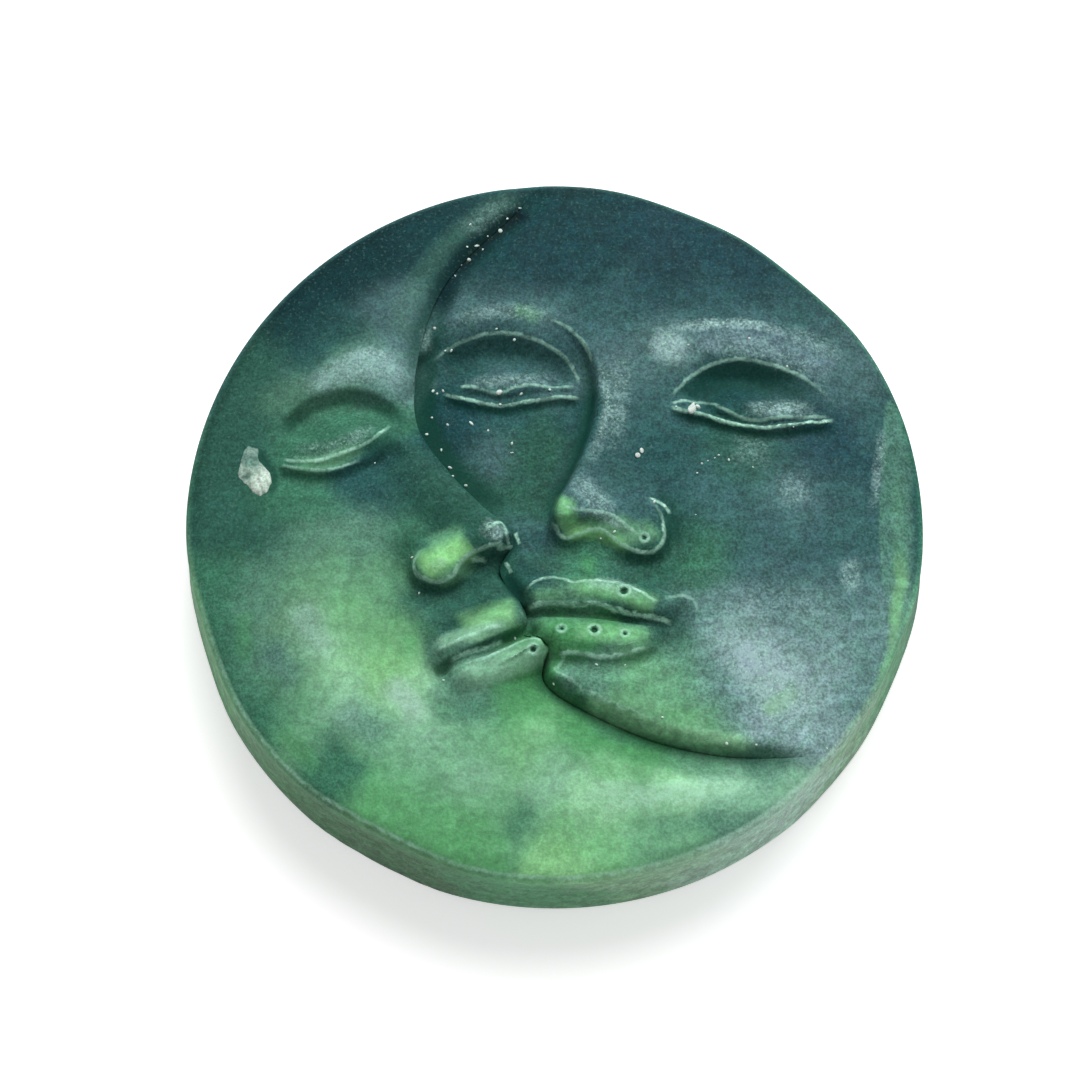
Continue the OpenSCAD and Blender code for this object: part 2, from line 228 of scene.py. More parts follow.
def addFeatures(xy, z, face):
    # adds every feature of a face to z, and gathers its painted shade and its pale lines of wear and painted
    # glint
    looks = plainLooks(len(xy))
    for f in face["bumps"]:
        shape = bumpShape(xy, f["middle"], f["axes"], f["turn"])
        z += f["height"] * shape
        if f["height"] < 0:
            paintShade(looks, touch["hollowShade"] * shape)
    for f in face["ridges"]:
        shape = ridgeShape(xy, f["line"], f["halfWidth"], f["fade"])
        z += f["height"] * shape
        if f["height"] < 0:
            paintShade(looks, touch["grooveShade"] * shape)
    for f in face["drops"]:
        # crisp at the line, then a slope that flattens out towards its foot, with painted shade on the slope
        # and a pale line of wear and painted glint at the crest
        near, (gap, place, side) = hitsNear(xy, f["line"], f["reach"])
        out = -gap * side
        ends = endFade(place, len(f["line"]), *f["fade"])
        t = np.clip((out + f["crest"]) / (f["crest"] + f["foot"]), 0.0, 1.0)
        fall = 1.0 - (1.0 - t ** touch["dropPower"]) ** 2
        z[near] -= f["drop"] * fall * (1.0 - ease(f["foot"], f["reach"], out)) * ends
        shade = stretch(out, *touch["dropShade"], touch["dropShadeHold"] * f["shade"], f["shade"]) * ends
        looks[near, paintedShadeAt] = np.maximum(looks[near, paintedShadeAt], f["dark"] * shade)
        if f["pale"] > 0:
            drawLine(looks, near, out + touch["dropLine"], f["pale"] * ends, f["pen"])
    for line, halfWidth, strength in face["shades"]:
        paintShade(looks, strength * ridgeShape(xy, line, halfWidth, touch["softEnds"]))
    for f in face["rims"]:
        near, (gap, place, side) = hitsNear(xy, f["line"], touch["rimReach"])
        ends = endFade(place, len(f["line"]), *f["fade"])
        shape = np.clip(1.0 - (gap / f["halfWidth"]) ** 2, 0.0, 1.0) ** touch["ridgePower"] * ends
        z[near] += f["height"] * shape
        # a raised rim takes off some of the painted shade
        looks[near, paintedShadeAt] *= 1.0 - touch["rimShadeCut"] * shape
        drawLine(looks, near, -gap * side, f["pale"] * ends, f["pen"])
    # bubble pits, with painted shade inside and a pale ring of wear and painted glint round them
    for x, y, radius, depth in face["pits"]:
        away = np.hypot(xy[:, 0] - x, xy[:, 1] - y)
        z -= depth * (1.0 - ease(*(radius * k for k in touch["pitHole"]), away))
        paintShade(looks, 1.0 - ease(*(radius * k for k in touch["pitShade"]), away))
        near = away < touch["pitReach"]
        worn = np.full(near.sum(), touch["pitWearGlint"])
        drawLine(looks, near, away[near] - touch["pitRing"] * radius, worn, touch["pitPen"])
    return looks


sunFace = dict(
    columns=420, rows=214, rimRows=10,
    bumps=[
        dict(middle=(20, -4), axes=(15, 17), turn=0, height=0.9),       # cheek
        dict(middle=(14, 26), axes=(20, 9), turn=-15, height=0.5),      # forehead
        dict(middle=(8, -18.5), axes=(10, 5), turn=-22, height=0.9),    # chin
        dict(middle=(3, -0.5), axes=(4.5, 3.4), turn=0, height=0.7),    # tip of the nose
        dict(middle=(7.9, -1.3), axes=(4.4, 4.4), turn=0, height=0.9),  # wing of the nose
        dict(middle=(20.7, 11.8), axes=(8.8, 3.2), turn=-4, height=0.8),  # near eyelid
        dict(middle=(-4.7, 14.8), axes=(7.6, 3), turn=-2, height=0.6),  # far eyelid
        dict(middle=(12, -12.6), axes=(2, 3.6), turn=-8, height=-0.9),  # corner of the mouth
    ],
    ridges=[
        dict(line=[(8.5, 16.5), (12, 18.3), (16.5, 19), (21, 18.3), (25.5, 16.1), (29.5, 12.6)],
             halfWidth=4, height=0.7, fade=(1, 1)),  # near brow
        dict(line=[(-13.5, 19), (-8, 20.9), (-3, 20.7), (1, 19), (3.6, 15.8)],
             halfWidth=3, height=0.5, fade=(1, 1)),  # far brow
        dict(line=[(-3.4, -9.4), (-0.4, -8.5), (3, -8.7), (6.6, -9.1), (9.6, -10), (11.8, -11)],
             halfWidth=2, height=1.25, fade=(0.6, 1)),  # upper lip
        dict(line=[(-2.4, -12.6), (0.8, -13), (4.2, -13.2), (7.6, -13.4), (10.4, -13.3)],
             halfWidth=2.2, height=1.2, fade=(0.5, 0.8)),  # lower lip
        dict(line=[(-3.4, -10.4), (0, -10.4), (4, -10.5), (8, -11.2), (12.2, -11.7)],
             halfWidth=0.7, height=-0.8, fade=(0.1, 0.5)),  # between the lips
        dict(line=[(14.8, 11.2), (16.5, 10.4), (18, 9.8), (20.5, 9.5), (22.5, 9.8), (25, 10.1), (28, 10.3)],
             halfWidth=0.36, height=-0.25, fade=(1, 0.5)),  # slit of the near eye
        dict(line=[(-9.6, 13.3), (-8, 13.1), (-5.5, 12.6), (-3.5, 12.9), (-1, 13.3), (2.2, 13.5)],
             halfWidth=0.36, height=-0.2, fade=(1, 0.5)),  # slit of the far eye
    ],
    drops=[
        dict(line=[(0.2, 0.2), (1.2, -0.4), (2.5, -0.6), (4, -0.6), (5.5, -0.9), (6.8, -1.7), (7.8, -2.6),
                   (8.6, -3)],
             drop=0.5, crest=0.3, foot=1.2, reach=4, fade=(2, 2),
             pale=0.5, pen=0, dark=0, shade=1.2),  # front of the nose
        dict(line=[(-0.6, -1.2), (0.8, -2.8), (2.4, -2.5), (4, -2), (5.4, -2.6), (6.8, -3.8), (8.4, -4.5),
                   (10, -4.3), (10.9, -3.2), (10.9, -1.4), (10.2, 0.4), (8.8, 1.7)],
             drop=1.0, crest=0.25, foot=1.0, reach=4.4, fade=(1, 3),
             pale=0.75, pen=1, dark=0.4, shade=1.0),  # outline of the nose
        dict(line=[(11.8, 12.2), (13, 13.8), (15.4, 15.6), (18.4, 16.5), (21.5, 16), (24.6, 14.8),
                   (27.2, 13), (29, 11)],
             drop=1.2, crest=0.25, foot=2.4, reach=5.5, fade=(1, 3),
             pale=0.5, pen=0, dark=0.7, shade=5),  # fold of the near eye
        dict(line=[(11.6, 11.1), (14.5, 10.5), (18, 9.4), (21, 8.9), (24.5, 9.4), (28.4, 10.3)],
             drop=0.7, crest=0.2, foot=0.9, reach=3, fade=(0.6, 0.6),
             pale=0, dark=0.7, shade=1.0),  # under the near eye
        dict(line=[(-12.5, 16.8), (-9.5, 18.5), (-6.5, 19.3), (-3.4, 19.1), (-0.6, 18), (1.4, 16.4),
                   (2.4, 14.2)],
             drop=0.8, crest=0.25, foot=2.0, reach=4.5, fade=(0.8, 0.5),
             pale=0.4, pen=0, dark=0.3, shade=4),  # fold of the far eye
        dict(line=[(-11.4, 13.1), (-8.6, 12.3), (-5.3, 11.7), (-2.5, 12.2), (0.3, 12.6), (2.8, 12.6)],
             drop=0.5, crest=0.2, foot=0.9, reach=3, fade=(0.6, 0.6),
             pale=0, dark=0.6, shade=1.0),  # under the far eye
        dict(line=[(-0.6, -14.2), (2, -14.9), (5, -15.3), (8, -14.8), (10.2, -13.8)],
             drop=0.5, crest=0.25, foot=0.8, reach=2.5, fade=(0.5, 0.5),
             pale=0, dark=0.25, shade=1.0),  # under the lip
    ],
    # soft dark folds that are only shade: line, half width, strength
    shades=[
        ([(0, -14), (3.5, -14.4), (7, -14.2), (9.5, -13.6)], 0.7, 0.2),
        ([(9.8, 2.2), (11, 0.8), (11.7, -1.2), (11.5, -3.6)], 1.2, 0.6),
        ([(11.2, -9.8), (12, -12), (11.8, -14.6)], 1.2, 0.45),
        ([(-5.2, -5.8), (-4.2, -7.3), (-2.6, -8.5)], 1.3, 0.9),
        ([(-3.2, -10.6), (-1.4, -10.7), (0, -10.6)], 0.8, 0.5),
        ([(-3, -11), (-2.2, -12.2), (-2.6, -13)], 0.8, 0.6),
    ],
    # fine pale edges, part wear and part painted glint
    rims=[
        dict(line=[(11.8, 11.6), (13, 12), (14.5, 12.1), (15.8, 11.9), (16.8, 11.2), (17.8, 10.5), (19, 10),
                   (20.5, 9.85), (22, 10.1), (24, 10.4), (27.8, 10.6)],
             halfWidth=0.5, height=0.12, fade=(0.3, 0.4), pale=0.45, pen=1),  # upper lid of the near eye
        dict(line=[(11.7, 11.2), (13.5, 10.8), (15, 10.5), (16.5, 9.9), (18, 9.5), (20, 9.2), (21.5, 9.15),
                   (23, 9.4), (25.5, 9.9), (28.2, 10.2)],
             halfWidth=0.48, height=0.16, fade=(0.3, 0.4), pale=0.94, pen=2),  # its lower lid
        dict(line=[(-9.6, 13.9), (-8.5, 13.9), (-7, 13.5), (-5.6, 13.1), (-4, 13.7), (-2, 14), (2.2, 13.9)],
             halfWidth=0.5, height=0.12, fade=(0.4, 0.4), pale=0.46, pen=1),  # upper lid of the far eye
        dict(line=[(-11.5, 13.3), (-9, 12.6), (-6.5, 12), (-5, 11.9), (-2, 12.4), (0.5, 12.8), (2.6, 12.7)],
             halfWidth=0.48, height=0.16, fade=(0.6, 0.4), pale=0.68, pen=2),  # its lower lid
        dict(line=[(-0.8, 21), (1, 20.1), (2.4, 18.8), (3.4, 17.4), (3.9, 16)],
             halfWidth=0.5, height=0.06, fade=(0.8, 0.6), pale=0.38, pen=1),  # edge of the far brow
        dict(line=[(-2.9, -8.5), (-1.7, -7.4), (-0.4, -7.1), (0.8, -7.3), (1.7, -7.7), (2.9, -7.5),
                   (4.4, -7.4), (6.6, -7.7), (8.4, -8.7), (10.2, -10)],
             halfWidth=0.6, height=0.16, fade=(0.8, 0.6), pale=0.61, pen=0),  # top of the upper lip
        dict(line=[(-2.8, -10), (0.2, -9.7), (2.5, -9.9), (4, -9.8), (6.7, -10.5), (9.1, -11),
                   (11.7, -11.4)],
             halfWidth=0.4, height=0.12, fade=(0.4, 0.4), pale=0.94, pen=1),  # edge of the upper lip
        dict(line=[(0.2, -14.7), (2.3, -14.8), (4.6, -15.2), (7, -14.9), (9.2, -14.2)],
             halfWidth=0.45, height=0.12, fade=(0.5, 0.5), pale=0.88, pen=2),  # bottom of the lower lip
        dict(line=[(10.6, -9.4), (11.6, -9), (12.8, -8.9), (13.8, -9.5), (14.2, -11)],
             halfWidth=0.7, height=0.05, fade=(1, 1), pale=0.41, pen=0),  # round the corner of the mouth
        dict(line=[(9.4, 1.3), (10.1, 1), (10.9, 0.5), (11.5, -0.2)],
             halfWidth=0.5, height=0.08, fade=(0.5, 0.5), pale=1, pen=0),  # wing of the nose
        dict(line=[(-3.9, -2.2), (-3.7, -2.8), (-3.4, -3.4)],
             halfWidth=0.4, height=0.05, fade=(0.3, 0.3), pale=1, pen=0),  # chips beside the moon's nose
        dict(line=[(-4.9, -5.1), (-4.6, -5.7), (-4.3, -6.4)],
             halfWidth=0.4, height=0.05, fade=(0.4, 0.4), pale=0.81, pen=0),  # chips below the moon's nose
    ],
    # bubble pits: x, y, radius, depth
    pits=[(6.8, -8.6, 0.42, 0.5), (0.7, -12.4, 0.3, 0.35), (3.9, -12.5, 0.4, 0.5), (6.9, -12.9, 0.26, 0.3),
          (8.9, -3, 0.28, 0.25)],
    # brow and bridge of the nose, the edge of the sunken far eye socket
    bridge=[(-18, 14), (-13.5, 17.6), (-11, 20.4), (-7, 22), (-3, 21.8), (0.5, 20.5), (3, 17.9), (4, 15),
            (4.1, 11.4), (3.2, 7.6), (1.7, 3.7), (0.4, 1.2), (-0.2, -0.9), (0.2, -2.6)],
    bridgeWidth=6.5, bridgePower=1.5, bridgeEdge=(-0.6, 0.6), bridgeSpan=(5, 7.5, 12, 13),
    browRise=0.5, noseRise=1.1, noseSpan=(8, 12),
    socketDepth=1.4, socketSpan=(-2.5, 2, 15, 22), socketEdge=(-0.7, 0.4),
    wallMiddle=0.6, wallWidth=0.9, wallEdge=(-0.15, 0.3), wallSpan=(5.5, 8, 10.5, 12.3), wallShade=0.9,
    # how the face falls towards the profile; stretches along it count its drawn points
    slopes=[
        dict(depth=1.0, width=3.2, power=0, along=(0, 0.9, 4, 7)),  # beside the moon's forehead
        dict(depth=2.1, width=1.7, power=2.2, along=(17, 19, 24, 26)),  # under the sun's chin
        dict(depth=0.5, width=1.6, power=0, along=(9, 10.5, 17, 18.5)),  # beside the moon's lips
    ],
    # painted shade in the creases along the profile, some with a ragged edge: size, cell and seed of its
    # noise
    ragged=[(0.35, 0.8, 41), (0.2, 0.35, 42)],
    valley=dict(along=(0.4, 1.1, 7.5, 9), inner=1.5, outer=1.9, widening=0.15,
                dark=0.2, more=0.7, lower=(3, 5)),
    seam=dict(along=(8, 9, 25, 25.9), width=0.6, dark=0.85, less=0.6, lower=(14, 17)),
    chin=dict(along=(17.5, 19, 24.6, 25.8), across=(0.4, 1.4), dark=0.5),
    chinEdge=dict(least=0.5, end=23.5, reach=2.6, gap=1.5, wearGlint=0.3, fade=(23.5, 22), pen=0),
)

moonFace = dict(
    columns=600, rows=132, rimRows=10,
    bumps=[
        dict(middle=(-20, -8), axes=(15, 20), turn=-20, height=1.0),       # cheek
        dict(middle=(-4, -27), axes=(20, 9), turn=12, height=0.7),         # jaw
        dict(middle=(-20, 20), axes=(14, 8), turn=50, height=0.5),         # forehead
        dict(middle=(-21.2, 8.5), axes=(6.4, 3.4), turn=14, height=0.9),   # eyelid
        dict(middle=(-11, -5.2), axes=(4, 3), turn=28, height=1.15),       # wing of the nose
        dict(middle=(-6.9, -2.5), axes=(4.5, 2.8), turn=20, height=0.7),   # tip of the nose
        dict(middle=(-11.4, -16.4), axes=(1.5, 2), turn=0, height=-0.9),   # corner of the mouth
    ],
    ridges=[
        dict(line=[(-28, 10.4), (-25, 13.1), (-21, 14.7), (-17, 14.3), (-14.5, 12.6)],
             halfWidth=3.6, height=0.6, fade=(1, 0.5)),  # brow
        dict(line=[(-15, 14), (-14, 8.8), (-10.8, 3.7), (-6.6, -0.5), (-4.4, -3.1)],
             halfWidth=5, height=1.2, fade=(2, 0.1)),  # bridge of the nose
        dict(line=[(-11.6, -15), (-8.6, -13.8), (-6, -12.2), (-2.8, -11.1)],
             halfWidth=2.2, height=1.35, fade=(1, 0.1)),  # upper lip
        dict(line=[(-10.8, -17), (-8, -16.5), (-4.8, -15.6), (-0.8, -14.2)],
             halfWidth=2, height=1.0, fade=(0.8, 0.1)),  # lower lip
        dict(line=[(-12, -16.4), (-10, -15.8), (-7, -14.5), (-4, -13.1), (-2.4, -12.5)],
             halfWidth=0.7, height=-0.8, fade=(0.4, 0.1)),  # between the lips
    ],
    drops=[
        dict(line=[(-28, 8), (-26.6, 10.3), (-24.4, 11.9), (-21.6, 12.7), (-18.8, 12.4), (-16.4, 11),
                   (-14.9, 9)],
             drop=0.9, crest=0.6, foot=1.0, reach=5, fade=(1.2, 1),
             pale=0, dark=0.5, shade=1.3),  # fold of the eye
        dict(line=[(-28, 5.2), (-25.6, 4.6), (-23, 4.3), (-20.5, 4.8), (-18, 6), (-15.8, 7.8)],
             drop=0.7, crest=0.2, foot=0.9, reach=3, fade=(0.6, 0.6),
             pale=0, dark=0.3, shade=0.9),  # under the eye
        dict(line=[(-13, -3.9), (-14, -5.3), (-13.7, -6.7), (-12.5, -7.5), (-10.9, -7.5), (-9.8, -6.8),
                   (-9.2, -5.7), (-8, -4.7), (-6.2, -4.1), (-3.6, -3.8)],
             drop=1.3, crest=0.3, foot=1.0, reach=4, fade=(1.5, 0.2),
             pale=0.85, pen=0, dark=0.3, shade=1.1),  # under the nose
    ],
    # painted shade: line, half width, strength
    shades=[
        ([(-12.4, -2.2), (-14.4, -3.8), (-15.2, -5.8), (-14.4, -8), (-12, -8.8)], 1.4, 0.2),
        ([(-11.2, -18.4), (-8, -18.8), (-4.5, -18.2), (-2, -17)], 1.2, 0.15),
        ([(-11.4, -13.2), (-8.4, -11.2), (-6, -9.2)], 1.4, 0.3),
        ([(-27.4, 8.6), (-26.2, 10.6), (-24.2, 12.2), (-21.6, 12.9), (-18.6, 12.5), (-16, 10.8),
          (-14.8, 8.6)], 0.9, 0.5),
        ([(-19.6, 5.9), (-18, 6.7), (-16.4, 8), (-15.4, 9.2)], 0.9, 0.4),
        ([(-11.4, -15.4), (-11.2, -17), (-10.9, -18)], 0.7, 0.25),
        ([(-11.6, -15.8), (-9.6, -15.2), (-7, -14.1), (-4.4, -12.9), (-2.6, -12.3)], 0.5, 0.75),
        # painted shadow of the crumb on the temple
        ([(-29.6, 7.6), (-29.3, 6.2), (-28.2, 4.6), (-28.1, 3.2), (-28.8, 2.2)], 0.6, 0.7),
    ],
    # fine pale edges, part wear and part painted glint
    rims=[
        dict(line=[(-27.2, 6), (-25, 5.6), (-23.5, 5.6), (-22, 6), (-19.5, 6.9), (-17.6, 8.2),
                   (-16.4, 9.4)],
             halfWidth=0.5, height=0.16, fade=(0.3, 1), pale=0.66, pen=1),  # upper lid
        dict(line=[(-27.5, 5.4), (-25.5, 4.9), (-24, 4.65), (-22.5, 4.6), (-21, 4.95), (-19.2, 5.7)],
             halfWidth=0.48, height=0.16, fade=(0.3, 0.8), pale=0.42, pen=2),  # lower lid
        dict(line=[(-11.5, -14.3), (-9.5, -13.7), (-8, -13.1), (-6.5, -12.5), (-4.6, -12.1)],
             halfWidth=0.5, height=0.1, fade=(0.5, 0.8), pale=0.61, pen=0),  # edge of the upper lip
        dict(line=[(-10.4, -15.5), (-8.5, -14.8), (-6.6, -14.1), (-5, -13.4)],
             halfWidth=0.4, height=0.1, fade=(0.5, 0.5), pale=0.68, pen=1),  # between the lips
        dict(line=[(-8.6, -15.9), (-6.6, -15.2), (-4.5, -14.1), (-2.4, -13.2), (-1.2, -13.6)],
             halfWidth=0.5, height=0.08, fade=(0.8, 0.4), pale=0.54, pen=2),  # top of the lower lip
        dict(line=[(-7, -2.6), (-6, -2), (-5.2, -1.7), (-4.8, -2.7), (-4.5, -3.6)],
             halfWidth=0.4, height=0.05, fade=(0.5, 0.3), pale=0.68, pen=1),  # chipped tip of the nose
        dict(line=[(-8.4, -5.2), (-7.6, -5), (-6.8, -5)],
             halfWidth=0.4, height=0.05, fade=(0.4, 0.4), pale=0.54, pen=1),  # under the nose
    ],
    pits=[(-2.1, -14.4, 0.34, 0.4)],
    slopes=[
        dict(depth=0.9, width=3.5, power=1.6, along=(0, 0.9, 5, 8)),  # forehead
        dict(depth=1.6, width=5, power=0, along=(18, 21, 24, 26)),  # under the chin line
    ],
    # rounded edge of the profile, painted shade in the creases along it, and the pale line of wear and
    # painted glint at the front of the rim
    wornEdge=dict(depth=0.5, width=1.2, along=(5, 8, 23.5, 25.5)),
    brow=dict(along=(0.4, 1.1, 4.3, 5.5), across=(0.2, 2.2), dark=0.3, more=0.4, lower=(2.5, 4)),
    under=dict(along=(17, 20, 25, 25.9), across=(0.1, 1.6), dark=0.6),
    lips=(13, 15, 20, 21.5),
    seam=dict(along=(9, 10.5, 25, 25.9), width=0.4, dark=0.7, lessAtLips=0.55, less=0.3, lower=(20, 21)),
    rimLine=dict(gap=0.45, wearGlint=0.4, front=(-4, -20), pen=0),
)


def bridgeShape(xy):
    # raised bridge of the sun's nose with the far eye socket sunk beside it, and painted shade on the wall
    # between them
    face = sunFace
    gap, place, side = nearestOn(xy, curveThrough(face["bridge"], lineSteps), lineSteps)
    out = gap * side
    q = np.clip(out / face["bridgeWidth"], 0.0, 1.0)
    rise = face["browRise"] + face["noseRise"] * ease(*face["noseSpan"], place)
    rise = rise * stretch(place, *face["bridgeSpan"]) * (1.0 - q * q) ** face["bridgePower"]
    sunk = face["socketDepth"] * stretch(xy[:, 1], *face["socketSpan"])
    inside = 1.0 - ease(*face["socketEdge"], out)
    across = (out + face["wallMiddle"]) / face["wallWidth"]
    wall = np.exp(-across ** 2) * (1.0 - ease(*face["wallEdge"], out)) * stretch(place, *face["wallSpan"])
    return rise * ease(*face["bridgeEdge"], out) - sunk * inside, wall


def seamFall(gap, place, slopes):
    # how far a face falls towards the profile
    fall = np.zeros(len(gap))
    for f in slopes:
        shape = 1.0 - ease(0.0, f["width"], gap)
        if f["power"] > 0:
            shape = np.clip(1.0 - gap / f["width"], 0.0, 1.0) ** f["power"]
        fall += f["depth"] * shape * stretch(place, *f["along"])
    return fall


def seamShade(gap, place, seam):
    return np.exp(-(gap / seam["width"]) ** 2) * stretch(place, *seam["along"])


def shapeSun(xy):
    gap, place = nearestOn(xy, profileCurve(lineSteps), lineSteps)[:2]
    z = domedFace(xy)
    looks = addFeatures(xy, z, sunFace)
    lift, wall = bridgeShape(xy)
    z += lift - seamFall(gap, place, sunFace["slopes"])
    paintShade(looks, sunFace["wallShade"] * wall)
    # painted shade in the valley beside the moon's forehead, along the seam and under the sun's chin
    ragged = gap + sum(size * cloud(xy, cell, seed) for size, cell, seed in sunFace["ragged"])
    valley = sunFace["valley"]
    shade = 1.0 - ease(valley["inner"], valley["outer"] + valley["widening"] * place, ragged)
    shade *= stretch(place, *valley["along"])
    paintShade(looks, (valley["dark"] + valley["more"] * ease(*valley["lower"], place)) * shade)
    seam = sunFace["seam"]
    dark = seam["dark"] - seam["less"] * ease(*seam["lower"], place)
    paintShade(looks, dark * seamShade(gap, place, seam))
    chin = stretch(place, *sunFace["chin"]["along"])
    paintShade(looks, sunFace["chin"]["dark"] * (1.0 - ease(*sunFace["chin"]["across"], ragged)) * chin)
    # pale line of wear and painted glint along the edge of the sun's chin
    edge = sunFace["chinEdge"]
    near = (chin > edge["least"]) & (place < edge["end"]) & (gap < edge["reach"])
    wearGlint = edge["wearGlint"] * ease(*edge["fade"], place[near])
    drawLine(looks, near, ragged[near] - edge["gap"], wearGlint, edge["pen"])
    planed = puck["rimHeight"] + puck["planedRise"] - puck["planedFall"] * (xy[:, 0] - puck["planedX"])
    looks[:, facetAt] = ease(*puck["planedBlend"], z - planed)
    return np.minimum(z, planed), looks


def shapeMoon(xy):
    gap, place = nearestOn(xy, profileCurve(lineSteps), lineSteps)[:2]
    z = domedFace(xy)
    looks = addFeatures(xy, z, moonFace)
    worn = moonFace["wornEdge"]
    z -= seamFall(gap, place, moonFace["slopes"])
    z -= worn["depth"] * roll(gap, worn["width"]) * stretch(place, *worn["along"])
    # painted shade beside the moon's forehead, under the chin line and along the seam
    brow, under, seam = moonFace["brow"], moonFace["under"], moonFace["seam"]
    beside = (1.0 - ease(*brow["across"], gap)) * stretch(place, *brow["along"])
    paintShade(looks, (brow["dark"] + brow["more"] * ease(*brow["lower"], place)) * beside)
    paintShade(looks, under["dark"] * (1.0 - ease(*under["across"], gap)) * stretch(place, *under["along"]))
    lips = stretch(place, *moonFace["lips"])
    dark = seam["dark"] - seam["lessAtLips"] * lips - seam["less"] * ease(*seam["lower"], place)
    paintShade(looks, dark * seamShade(gap, place, seam))
    # pale line of wear and painted glint at the front of the rim
    front = moonFace["rimLine"]
    wearGlint = front["wearGlint"] * ease(*front["front"], xy[:, 1])
    drawLine(looks, np.ones(len(xy), bool), rimGap(xy) - front["gap"], wearGlint, front["pen"])
    return z, looks


# marbling

